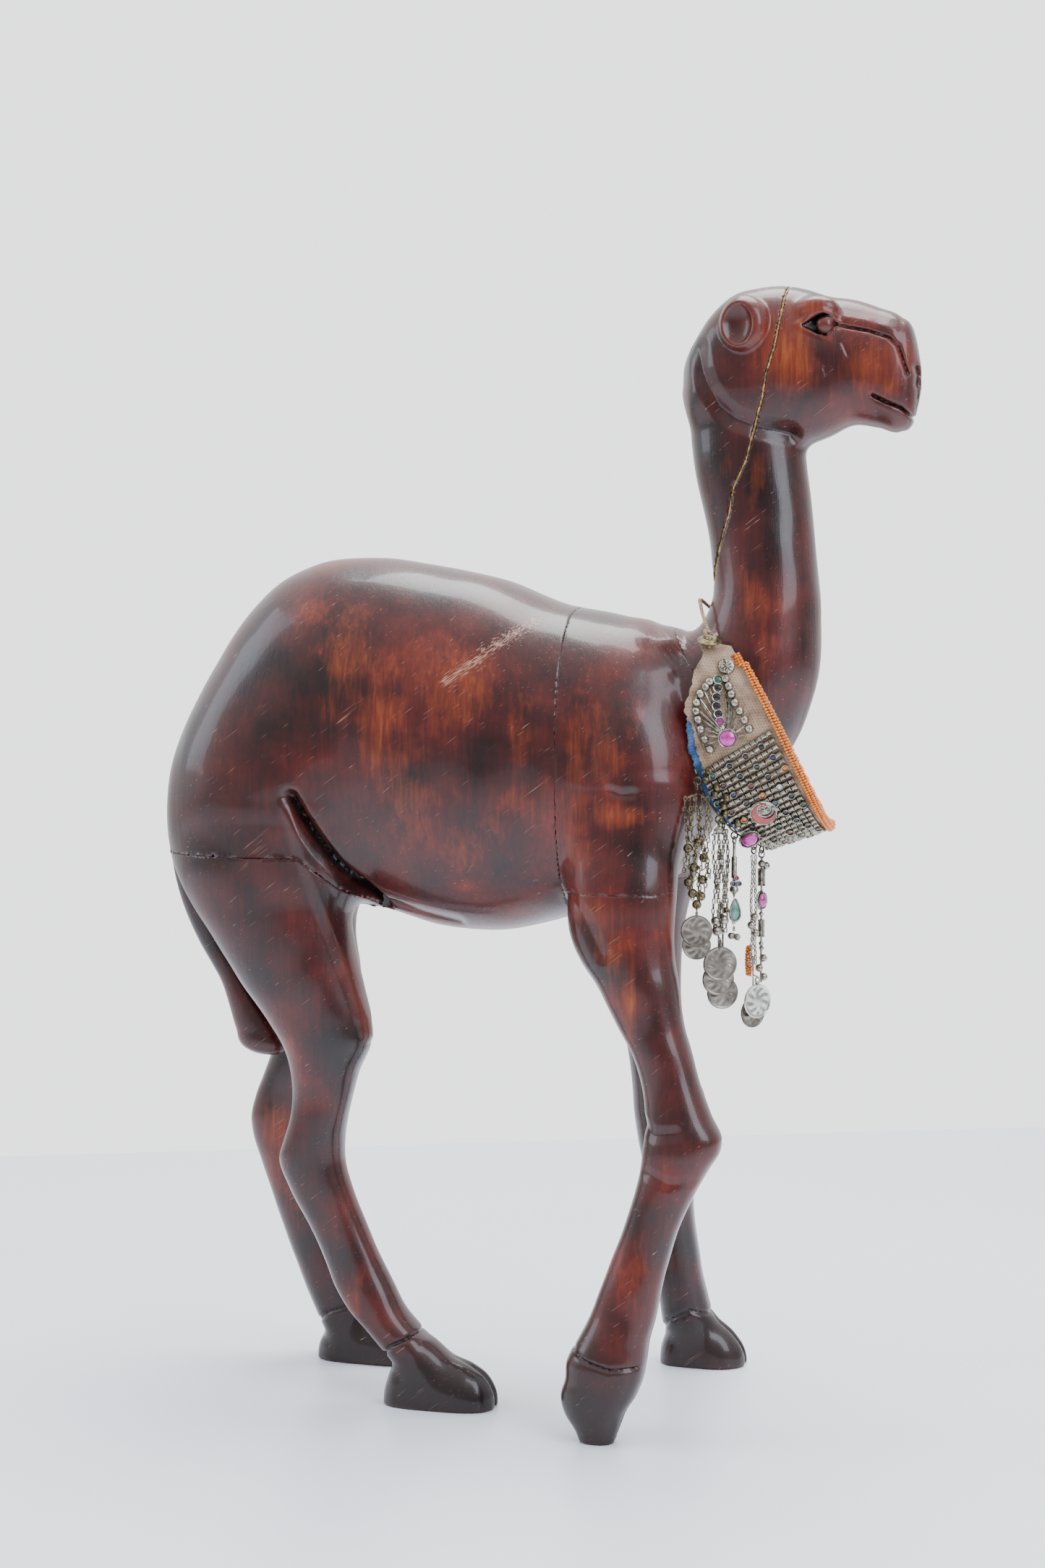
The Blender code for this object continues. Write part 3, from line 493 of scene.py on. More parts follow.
# ---------------------------------------------------------------- finishes
def linear(code: str) -> tuple[float, float, float, float]:
    """sRGB hex value as linear colour: c/12.92 when small, else ((c + 0.055)/1.055) to the 2.4."""
    c = np.array([int(code[i:i + 2], 16) for i in (1, 3, 5)]) / 255
    c = np.where(c <= 0.04045, c / 12.92, ((c + 0.055) / 1.055) ** 2.4)
    return (*c.tolist(), 1.0)


def add(tree: Tree, kind: str, inputs: dict | None = None, stops: list[tuple[float, str]] | None = None,
        **settings) -> Node:
    """Add a shader node with its settings and links.

    Args:
        tree: the node tree.
        kind: the node's type, without the ShaderNode prefix.
        inputs: socket name or number to a value, a hex colour or another node's output.
        stops: position and hex colour of each stop of a colour ramp.
        settings: the node's own properties.

    Returns:
        The node.
    """
    made = tree.nodes.new("ShaderNode" + kind)
    for key, value in settings.items():
        setattr(made, key, value)
    for key, value in (inputs or {}).items():
        if isinstance(value, Socket):
            tree.links.new(value, made.inputs[key])
        else:
            made.inputs[key].default_value = linear(value) if isinstance(value, str) else value
    if stops:
        ramp = made.color_ramp.elements
        while len(ramp) < len(stops):
            ramp.new(0.5)
        for element, (place, code) in zip(ramp, stops):
            element.position, element.color = place, linear(code)
    return made


@dataclass(frozen=True)
class Finish:
    """A surface: its name and the shader's constants."""

    name: str
    roughness: float = 0.5
    metallic: float = 0.0
    ior: float = 1.5
    coat: float = 0.0
    coat_roughness: float = 0.1
    sheen: float = 0.0

    def material(self) -> bpy.types.Material:
        """The finish's material, made the first time that it is asked for."""
        found = bpy.data.materials.get(self.name)
        if found:
            return found
        made = bpy.data.materials.new(self.name)
        made.use_nodes = True
        tree = made.node_tree
        shader = tree.nodes["Principled BSDF"]
        for socket, value in (("Roughness", self.roughness), ("Metallic", self.metallic), ("IOR", self.ior),
                              ("Coat Weight", self.coat), ("Coat Roughness", self.coat_roughness),
                              ("Sheen Weight", self.sheen)):
            shader.inputs[socket].default_value = value
        self.pattern(tree, shader, add(tree, "TexCoord").outputs["Object"])
        return made

    def pattern(self, tree: Tree, shader: Node, place: Socket) -> None:
        """Add the nodes that colour and texture this finish."""
        raise NotImplementedError


@dataclass(frozen=True)
class StainedHardwood(Finish):
    """Mango or acacia wood, rasped, stained dark mahogany and shellacked: the stain stays nearly black in
    hollows and end grain, and handling has rubbed the flanks through to orange-brown."""

    def pattern(self, tree: Tree, shader: Node, place: Socket) -> None:
        """Blotched stain over upright grain, darker in hollows, lighter where rubbed or scraped."""
        hollow, proud, rubbed, scraped = (add(tree, "Attribute", attribute_name=n).outputs["Fac"]
                                          for n in ("hollow", "proud", "rubbed", "scraped"))
        # grain streaks 4 mm wide and 40 mm long, and pores 0.8 by 12 mm
        stretch = add(tree, "Mapping", {"Vector": place, "Scale": (260, 260, 26)})
        grain = add(tree, "TexNoise", {"Vector": stretch.outputs[0], "Scale": 1.0, "Detail": 5.0,
                                       "Roughness": 0.62, "Distortion": 0.5}).outputs["Fac"]
        stretch = add(tree, "Mapping", {"Vector": place, "Scale": (1250, 1250, 85)})
        pores = add(tree, "TexNoise", {"Vector": stretch.outputs[0], "Scale": 1.0,
                                       "Detail": 3.0}).outputs["Fac"]
        blotch = add(tree, "TexNoise", {"Vector": place, "Scale": 17.0, "Detail": 4.0,
                                        "Roughness": 0.55}).outputs["Fac"]
        broad = add(tree, "TexNoise", {"Vector": place, "Scale": 7.0, "Detail": 2.0}).outputs["Fac"]
        tone = add(tree, "Math", {0: grain, 1: 0.24, 2: 0.09}, operation="MULTIPLY_ADD").outputs[0]
        tone = add(tree, "Math", {0: blotch, 1: 0.72, 2: tone}, operation="MULTIPLY_ADD").outputs[0]
        stain = add(tree, "ValToRGB", {"Fac": tone}, [(0.36, "#0a0202"), (0.47, "#200505"), (0.56, "#390907"),
                                                      (0.70, "#58130b")]).outputs["Color"]
        # rubbed places: their bell curves broken up by blotches and by grain
        worn = add(tree, "Math", {0: blotch, 1: 2.1, 2: -0.90}, operation="MULTIPLY_ADD").outputs[0]
        worn = add(tree, "Math", {0: grain, 1: 0.45, 2: worn}, operation="MULTIPLY_ADD").outputs[0]
        worn = add(tree, "Math", {0: rubbed, 1: worn}, operation="ADD").outputs[0]
        worn = add(tree, "MapRange", {"Value": worn, "From Min": 0.62, "From Max": 1.75,
                                      "To Max": 0.85}).outputs["Result"]
        bare = add(tree, "ValToRGB", {"Fac": grain}, [(0.28, "#6a2009"), (0.50, "#8a3611"),
                                                      (0.72, "#a9581f")]).outputs["Color"]
        colour = add(tree, "Mix", {"Factor": worn, 6: stain, 7: bare}, data_type="RGBA").outputs[2]
        edge = add(tree, "MapRange", {"Value": proud, "From Min": 0.16, "From Max": 0.6,
                                      "To Max": 0.5}).outputs["Result"]
        colour = add(tree, "Mix", {"Factor": edge, 6: colour, 7: "#7c3420"}, data_type="RGBA").outputs[2]
        pit = add(tree, "MapRange", {"Value": hollow, "From Min": 0.18, "From Max": 0.75,
                                     "To Max": 0.93}).outputs["Result"]
        colour = add(tree, "Mix", {"Factor": pit, 6: colour, 7: "#0c0505"}, data_type="RGBA").outputs[2]
        # darker towards the floor and over the upper rump, with broad random blotches of uneven stain
        axes = add(tree, "SeparateXYZ", {"Vector": place}).outputs
        foot = add(tree, "MapRange", {"Value": axes["Z"], "From Min": 0.075, "From Max": 0.035,
                                      "To Max": 0.86}).outputs["Result"]
        rump = add(tree, "MapRange", {"Value": axes["X"], "From Min": -0.15, "From Max": -0.27,
                                      "To Max": 0.62}).outputs["Result"]
        high = add(tree, "MapRange", {"Value": axes["Z"], "From Min": 0.28,
                                      "From Max": 0.42}).outputs["Result"]
        rump = add(tree, "Math", {0: rump, 1: high}, operation="MULTIPLY").outputs[0]
        dark = add(tree, "Math", {0: foot, 1: rump}, operation="MAXIMUM").outputs[0]
        dark = add(tree, "Math", {0: broad, 1: 0.35, 2: dark}, operation="MULTIPLY_ADD").outputs[0]
        dark = add(tree, "MapRange", {"Value": dark, "From Min": 0.16, "From Max": 1.1,
                                      "To Max": 0.9}).outputs["Result"]
        colour = add(tree, "Mix", {"Factor": dark, 6: colour, 7: "#120808"}, data_type="RGBA").outputs[2]
        # scratches: threads 0.7 mm wide running up and forwards, thick in the scrape and thin elsewhere
        turned = add(tree, "Mapping", {"Vector": place, "Rotation": (0.0, math.radians(37), 0.0)})
        thread = add(tree, "Mapping", {"Vector": turned.outputs[0], "Scale": (26, 600, 1350)})
        scratch = add(tree, "TexNoise", {"Vector": thread.outputs[0], "Scale": 1.0,
                                         "Detail": 2.0}).outputs["Fac"]
        cut = add(tree, "Math", {0: scraped, 1: 0.26, 2: scratch}, operation="MULTIPLY_ADD").outputs[0]
        cut = add(tree, "MapRange", {"Value": cut, "From Min": 0.69, "From Max": 0.80,
                                     "To Max": 0.75}).outputs["Result"]
        colour = add(tree, "Mix", {"Factor": cut, 6: colour, 7: "#b08672"}, data_type="RGBA").outputs[2]
        tree.links.new(colour, shader.inputs["Base Color"])
        rough = add(tree, "MapRange", {"Value": blotch, "From Min": 0.3, "From Max": 0.7, "To Min": 0.26,
                                       "To Max": 0.42}).outputs["Result"]
        tree.links.new(rough, shader.inputs["Roughness"])
        relief = add(tree, "Math", {0: pores, 1: 0.5, 2: grain}, operation="MULTIPLY_ADD").outputs[0]
        relief = add(tree, "Math", {0: cut, 1: -0.8, 2: relief}, operation="MULTIPLY_ADD").outputs[0]
        bump = add(tree, "Bump", {"Height": relief, "Strength": 0.30, "Distance": 0.0006})
        tree.links.new(bump.outputs[0], shader.inputs["Normal"])


@dataclass(frozen=True)
class Speckled(Finish):
    """A dull or glossy surface whose colour wanders between two tones, with fine relief.

    Attributes:
        dark: hex colour of the low spots.
        light: hex colour of the high spots.
        per_metre: how many blotches fit in a metre.
        relief: height of the relief, metres.
    """

    dark: str = "#000000"
    light: str = "#ffffff"
    per_metre: float = 400.0
    relief: float = 0.0001

    def pattern(self, tree: Tree, shader: Node, place: Socket) -> None:
        """Noise between the two tones, and the same noise as relief."""
        noise = add(tree, "TexNoise", {"Vector": place, "Scale": self.per_metre, "Detail": 4.0,
                                       "Roughness": 0.6}).outputs["Fac"]
        colour = add(tree, "ValToRGB", {"Fac": noise}, [(0.36, self.dark), (0.62, self.light)])
        tree.links.new(colour.outputs["Color"], shader.inputs["Base Color"])
        bump = add(tree, "Bump", {"Height": noise, "Strength": 0.5, "Distance": self.relief})
        tree.links.new(bump.outputs[0], shader.inputs["Normal"])


STAINED_WOOD = StainedHardwood("stained_hardwood_shellacked", 0.33, ior=1.42, coat=0.35, coat_roughness=0.1)
DRIED_FILLER = Speckled("dried_glue_and_sawdust", 0.7, dark="#2a160b", light="#c79a55", per_metre=260,
                        relief=0.0006)
RAW_WOOD = Speckled("raw_beech_dowel", 0.75, dark="#9c7a50", light="#c29c6c", per_metre=300)
WHITE_LACQUER = Speckled("white_lacquer_table", 0.35, dark="#e4eaf2", light="#e8edf4", per_metre=2.0,
                         relief=0.0)


# ---------------------------------------------------------------- the carving, mm on the bench
# barrel: x, top z, bottom z, half width
TORSO = np.array([(-277, 468, 402, 24), (-269, 494, 386, 42), (-251, 536, 374, 60),
                  (-226, 580, 370, 74), (-192, 619, 371, 82), (-158, 636, 374, 87),
                  (-110, 640, 372, 90), (-60, 633, 359, 92), (-10, 622, 357, 92), (30, 606, 366, 90),
                  (70, 597, 380, 86), (105, 589, 392, 74), (125, 576, 405, 54), (138, 548, 425, 34)])
# neck: x and z of its middle, half depth along it, half width
NECK = np.array([(20, 490, 92, 70), (75, 498, 88, 68), (122, 512, 74, 60), (157, 535, 63, 50),
                 (178, 565, 50, 45), (186, 600, 41, 40), (184, 645, 38.5, 36), (179, 680, 40, 34),
                 (173, 715, 41.5, 34), (170, 765, 42, 34)])
# head: x, top z, bottom z, half width
HEAD = np.array([(124, 786, 748, 12), (132, 797, 738, 24), (144, 815, 734, 33), (160, 830, 732, 38),
                 (180, 836, 726, 40), (200, 837, 722, 40), (216, 834, 722, 38), (232, 829, 727, 34),
                 (250, 826, 735, 30), (268, 820, 733, 27), (284, 813, 730, 24), (294, 802, 737, 18),
                 (299, 784, 752, 10)])
# limbs: z, x and y of the middle, half depth, half width
HINDLEG_NEAR = np.array([(440, -172, -46, 66, 34), (400, -184, -52, 68, 38), (374, -182, -55, 60, 36),
                         (345, -171, -57, 52, 33), (315, -158, -58, 45, 30), (291, -146, -58, 39, 27),
                         (272, -139, -58, 34, 25), (251, -140, -58, 26, 22), (233, -142, -57, 23, 20),
                         (216, -145, -57, 22, 20), (199, -149, -56, 23, 21), (184, -151, -56, 25, 21),
                         (161, -144, -56, 24, 20), (133, -131, -55, 22, 18), (101, -116, -55, 22, 18),
                         (86, -109, -55, 23, 19), (68, -98, -55, 22, 20), (53, -84, -55, 22, 21),
                         (30, -66, -55, 20, 20), (12, -60, -55, 18, 18)])
HINDLEG_FAR = np.array([(440, -176, 46, 62, 34), (400, -196, 50, 58, 38), (374, -200, 52, 52, 36),
                        (345, -198, 53, 46, 33), (315, -192, 53, 44, 30), (285, -184, 52, 40, 27),
                        (253, -184, 51, 34, 24), (229, -192, 50, 34, 22), (211, -204, 50, 29, 20),
                        (194, -210, 50, 27, 20), (176, -209, 50, 26, 20), (158, -204, 50, 25, 19),
                        (141, -198, 50, 25, 18), (106, -185, 50, 26, 18), (71, -172, 50, 25, 20),
                        (45, -162, 50, 24, 21), (12, -150, 50, 20, 20)])
FORELEG_NEAR = np.array([(470, 88, -50, 48, 34), (430, 90, -60, 42, 34), (395, 92, -68, 40, 33),
                         (364, 93, -73, 38, 29), (343, 99, -76, 34, 27), (328, 106, -78, 30, 25),
                         (313, 111, -79, 27, 24), (297, 117, -81, 24, 22), (282, 124, -83, 22, 21),
                         (255, 133, -86, 21.5, 20), (236, 138, -88, 24, 21), (220, 142, -90, 28, 22),
                         (211, 141, -91, 28, 22), (199, 137, -92, 25, 21), (181, 130, -94, 22, 20),
                         (156, 121, -97, 20, 18), (135, 114, -99, 20.5, 18), (112, 107, -102, 22, 19),
                         (90, 101, -104, 24, 20), (74, 95, -106, 26, 22), (58, 90, -108, 29, 24),
                         (44, 88, -109, 28, 24), (32, 84, -111, 27, 22), (20, 82, -112, 22, 19),
                         (8, 84, -114, 16, 14), (-6, 85, -115, 11, 10)])
FORELEG_FAR = np.array([(470, 86, 50, 48, 34), (430, 86, 58, 42, 34), (395, 84, 63, 38, 33),
                        (360, 80, 66, 34, 29), (320, 82, 68, 28, 25), (285, 87, 70, 24, 22),
                        (246, 93, 71, 23, 21), (221, 100, 74, 28, 22), (203, 101, 76, 28, 22),
                        (185, 101, 79, 26, 21), (168, 100, 81, 22, 20), (138, 99, 85, 19, 18),
                        (114, 101, 89, 18, 17), (96, 103, 91, 18, 17), (69, 106, 95, 19, 18),
                        (50, 109, 98, 20, 19), (28, 114, 100, 21, 20), (12, 118, 103, 18, 18)])
TAIL = np.array([(450, -262, 0, 18, 12), (405, -268, 0, 16, 11), (374, -264, 0, 13, 11),
                 (340, -250, 0, 12, 10), (307, -231, 0, 12, 10), (289, -222, 0, 15, 11),
                 (272, -214, 0, 18, 12), (258, -208, 0, 18, 12), (252, -205, 0, 12, 9)])
# flat-soled hooves: upright sections x, top z, half width; then the middle y
HOOF_HIND_NEAR = ([(-93, 14, 12), (-86, 30, 18), (-74, 46, 21.5), (-60, 50, 22.5), (-42, 38, 23),
                   (-25, 31, 21.5), (-14, 23, 17), (-7, 13, 10)], -55)
HOOF_HIND_FAR = ([(-180, 14, 12), (-172, 24, 18), (-156, 40, 21.5), (-138, 42, 22.5), (-122, 38, 23),
                  (-105, 30, 21.5), (-94, 22, 17), (-87, 13, 10)], 50)
HOOF_FORE_FAR = ([(90, 16, 12), (96, 28, 18), (108, 42, 21.5), (122, 44, 22.5), (136, 34, 22),
                  (148, 24, 18), (155, 15, 12), (158, 10, 8)], 103)

NECK_CRACK = np.array([(212, 860), (203, 831), (201, 813), (197, 790), (191, 770), (188, 753), (182, 735),
                       (176, 709), (167, 690), (163, 669), (159, 658), (154, 640), (150, 624),
                       (138, 600)])
NECK_FOOT = np.array([(120, 585), (196, 470), (215, 445), (235, 420)])
THIGH_TOP = np.array([(-330, 415), (-150, 415), (-110, 380), (-80, 340)])


@dataclass
class Carving:
    """The camel as one field: roughed-out masses, then chisel work.

    Attributes:
        masses: what is blended on to the barrel, in order.
        cuts: chisel lines; less than 0 deep stands proud.
        facet: how far the tool marks leave the surface uneven, mm.
    """

    masses: list[Form] = field(default_factory=lambda: [
        Neck(24.0, NECK),
        Lump(26.0, np.array([102, 56, 470]), np.array([36, 33, 60])),
        Lump(34.0, np.array([-192, 44, 450]), np.array([70, 46, 90])),
        Trunk(10.0, HEAD, 2.5, 12.0),
        Limb(20.0, HINDLEG_NEAR), Limb(20.0, HINDLEG_FAR),
        Limb(16.0, FORELEG_NEAR), Limb(16.0, FORELEG_FAR),
        Limb(8.0, TAIL),
        Hoof(5.0, HOOF_HIND_NEAR), Hoof(5.0, HOOF_HIND_FAR), Hoof(5.0, HOOF_FORE_FAR),
        Lump(6.0, np.array([226, 28, 818]), np.array([15, 9, 8.5])),
    ])
    cuts: list[Cut] = field(default_factory=lambda: [
        # eye to nostril, with a low ridge over it
        Cut(np.array([(240, 806), (247, 804), (263, 801), (278, 796), (284, 790), (288, 779), (291, 770)]),
            2.6, 3.0, least_y=7),
        Cut(np.array([(240, 812), (262, 808), (281, 802)]), 6.0, -1.4, least_y=7),
        # nostril, mouth, and the split of the lip
        Cut(np.array([(296, 776), (298, 770), (297, 763)]), 3.0, 4.5, least_y=3),
        Cut(np.array([(266, 755), (276, 750), (286, 746), (292, 741), (300, 736)]), 2.4, 4.0, least_y=0),
        Cut(np.array([(268, 748), (280, 742), (290, 738)]), 6.0, -1.2, least_y=6),
        Cut(np.array([(297, 762), (297, 750), (296, 738)]), 2.2, 1.2, least_y=4),
        # edge of the jaw over the throat, and nicks of the knife in the cheek
        Cut(np.array([(140, 790), (143, 775), (148, 762), (157, 748), (168, 739), (184, 733), (206, 729)]),
            10.0, 4.5, least_y=14, sharp=1.2),
        Cut(np.array([(245, 792), (249, 783)]), 1.6, 1.0, least_y=12),
        Cut(np.array([(232, 775), (234, 769)]), 1.4, 0.8, least_y=12),
        # front of the thigh: a deep crevice behind a sharp facet
        Cut(np.array([(-155, 461), (-147, 446), (-136, 428), (-124, 410), (-110, 393), (-100, 378)]),
            9.0, 11.0, least_y=20),
        Cut(np.array([(-156, 455), (-146, 420), (-134, 382), (-116, 328), (-100, 280)]),
            8.0, -3.0, least_y=20, sharp=1.0),
        Cut(np.array([(-118, 398), (-96, 384), (-70, 374), (-40, 366)]), 9.0, 3.0, least_y=20),
        # shoulder: dents of the gouge below the joint
        Cut(np.array([(88, 470), (96, 467), (104, 468)]), 6.0, 2.2, Side.NEAR, 40),
        Cut(np.array([(-58, 545), (-54, 541)]), 1.8, 1.2, Side.NEAR, 40),
        Cut(np.array([(-28, 541), (-25, 538)]), 1.8, 1.2, Side.NEAR, 40),
        # elbow and knee: planes left by the knife
        Cut(np.array([(60, 392), (72, 376), (84, 352)]), 8.0, 1.6, Side.NEAR, 60, 1.0),
        Cut(np.array([(112, 232), (124, 224), (140, 226)]), 7.0, 1.6, Side.NEAR, 70, 1.0),
        Cut(np.array([(120, 196), (136, 190), (150, 192)]), 6.0, 1.2, Side.NEAR, 70, 1.0),
        # tops of the hooves
        Cut(np.array([(-97, 32), (-84, 47), (-68, 55), (-50, 50)]), 3.0, 2.2, Side.NEAR, 30),
        Cut(np.array([(-184, 26), (-168, 40), (-150, 47), (-130, 46)]), 3.0, 2.0, Side.FAR, 20),
        Cut(np.array([(88, 22), (100, 38), (116, 47), (132, 42)]), 3.0, 2.0, Side.FAR, 70),
        Cut(np.array([(62, 70), (78, 62), (96, 57), (114, 58)]), 3.0, 2.2, Side.NEAR, 70),
    ])
    facet: float = 0.16

    def distance(self, p: Array) -> Array:
        """Signed distance to the finished carving.

        Args:
            p: points on the bench, mm.

        Returns:
            Distances in mm, negative in the wood.
        """
        d = Trunk(0.0, TORSO, 2.25, 18.0).distance(p)
        for mass in self.masses:
            d = mass.join(d, p)
        close = np.abs(d) < 20
        q = p[close]
        fine = self.ears(self.eyes(d[close], q), q)
        for cut in self.cuts:
            fine = fine + cut.offset(q)
        d[close] = fine + self.clefts(q) + self.tool_marks(q)
        return smooth_max(d, -p[:, 2], 1.5)

    def tool_marks(self, p: Array) -> Array:
        """Low waves left by gouge and rasp: products of sines some 40 to 80 mm long."""
        x, y, z = p.T
        return self.facet * (np.sin(x / 8.3 + np.sin(z / 21)) * np.sin(z / 9.1 + np.cos(y / 13))
                             + 0.5 * np.sin(y / 7.1 + x / 12.7) * np.sin(z / 6.7))

    @staticmethod
    def eyes(d: Array, p: Array) -> Array:
        """Round eyeball with a three-cornered hollow behind it and a lid above and below.

        Args:
            d: distances so far.
            p: their points, mm.

        Returns:
            Distances with both eyes carved.
        """
        x, y, z = p[:, 0], np.abs(p[:, 1]), p[:, 2]
        near = (np.abs(x - 228) < 26) & (np.abs(z - 806) < 20) & (y > 18)
        if not near.any():
            return d
        x, y, z, here = x[near], y[near], z[near], d[near]
        hollow = np.maximum(np.abs(z - 805.5) * 0.9 - (x - 214) * 0.42, x - 234)
        here = smooth_max(here, -np.maximum(hollow, -(here + 5.0)), 1.2)
        lid = path_distance(x, z, np.array([(214, 806), (222, 812), (231, 815), (238, 812), (242, 806)]))
        here = here - 1.5 * np.clip(1 - lid / 3.2, 0, 1)
        lid = path_distance(x, z, np.array([(216, 803), (226, 798), (235, 797), (241, 802)]))
        here = here - 0.8 * np.clip(1 - lid / 2.6, 0, 1)
        ball = np.sqrt((x - 232.5) ** 2 + (y - 30.5) ** 2 + (z - 805.5) ** 2) - 7.0
        out = d.copy()
        out[near] = smooth_min(here, ball, 0.6)
        return out

    @staticmethod
    def ears(d: Array, p: Array) -> Array:
        """Flat round ear set on the side of the head, dished towards its back edge.

        Args:
            d: distances so far.
            p: their points, mm.

        Returns:
            Distances with both ears carved.
        """
        x, y, z = p[:, 0], np.abs(p[:, 1]), p[:, 2]
        near = (np.abs(x - 175) < 30) & (np.abs(z - 807) < 34) & (y > 18)
        if not near.any():
            return d
        q = np.column_stack([x, y, z])[near]
        disc = Lump(0.0, np.array([174.5, 34, 806.5]), np.array([19, 17, 21.5])).distance(q)
        disc = smooth_max(disc, q[:, 1] - 48.0, 2.5)
        here = smooth_min(d[near], disc, 2.0)
        dish = Lump(0.0, np.array([169.5, 52, 806]), np.array([13.5, 12.5, 18.5])).distance(q)
        out = d.copy()
        out[near] = smooth_max(here, -dish, 1.6)
        return out

    @staticmethod
    def clefts(p: Array) -> Array:
        """Cleft of each toe: a V-shaped groove along the middle of the hoof's front."""
        out = np.zeros(len(p))
        for toe_x, back_x, mid_y, top_z in ((-7, -46, -55, 46), (-87, -124, 50, 44), (158, 118, 103, 46)):
            along = ease((p[:, 0] - back_x) / (toe_x - back_x)) * (p[:, 2] < top_z)
            out += 4.0 * along * np.clip(1 - np.abs(p[:, 1] - mid_y) / 4.0, 0, 1)
        tip = ease((46 - p[:, 2]) / 30) * (p[:, 0] > 86)
        return out + 4.5 * tip * np.clip(1 - np.abs(p[:, 1] + 113 + (p[:, 2] - 10) * -0.06) / 4.0, 0, 1)


# ---------------------------------------------------------------- meshes
def linked(name: str, data: bpy.types.ID) -> Object:
    """New object for a mesh, lamp or camera, linked to the scene."""
    obj = bpy.data.objects.new(name, data)
    bpy.context.scene.collection.objects.link(obj)
    return obj


def new_piece(name: str, verts: Array, faces: Iterable, finish: Finish, smooth: float = 50.0) -> Object:
    """Make an object from points on the bench, its place in its mesh.

    Args:
        name: the object's name.
        verts: points in mm.
        faces: corner numbers of each face.
        finish: the material to dress it in.
        smooth: edges turned further than this many degrees stay sharp.

    Returns:
        The object, linked to the scene.
    """
    mesh = bpy.data.meshes.new(name)
    mesh.from_pydata((verts + BENCH) * MM, [], faces.tolist() if isinstance(faces, np.ndarray) else faces)
    mesh.shade_smooth()
    mesh.set_sharp_from_angle(angle=math.radians(smooth))
    mesh.materials.append(finish.material())
    return linked(name, mesh)


def dress(obj: Object, finish: Finish) -> None:
    """Give an object this finish only."""
    obj.data.materials.clear()
    obj.data.materials.append(finish.material())


@dataclass
class Block:
    """One glued-up block of the statue: what it replaces, where it is sawn and how finely it is skinned."""

    node: str
    low: tuple[float, float, float]
    high: tuple[float, float, float]
    step: float
    keep: Saw
    remove: list[Saw] = field(default_factory=list)
    sunk: float = 0.0


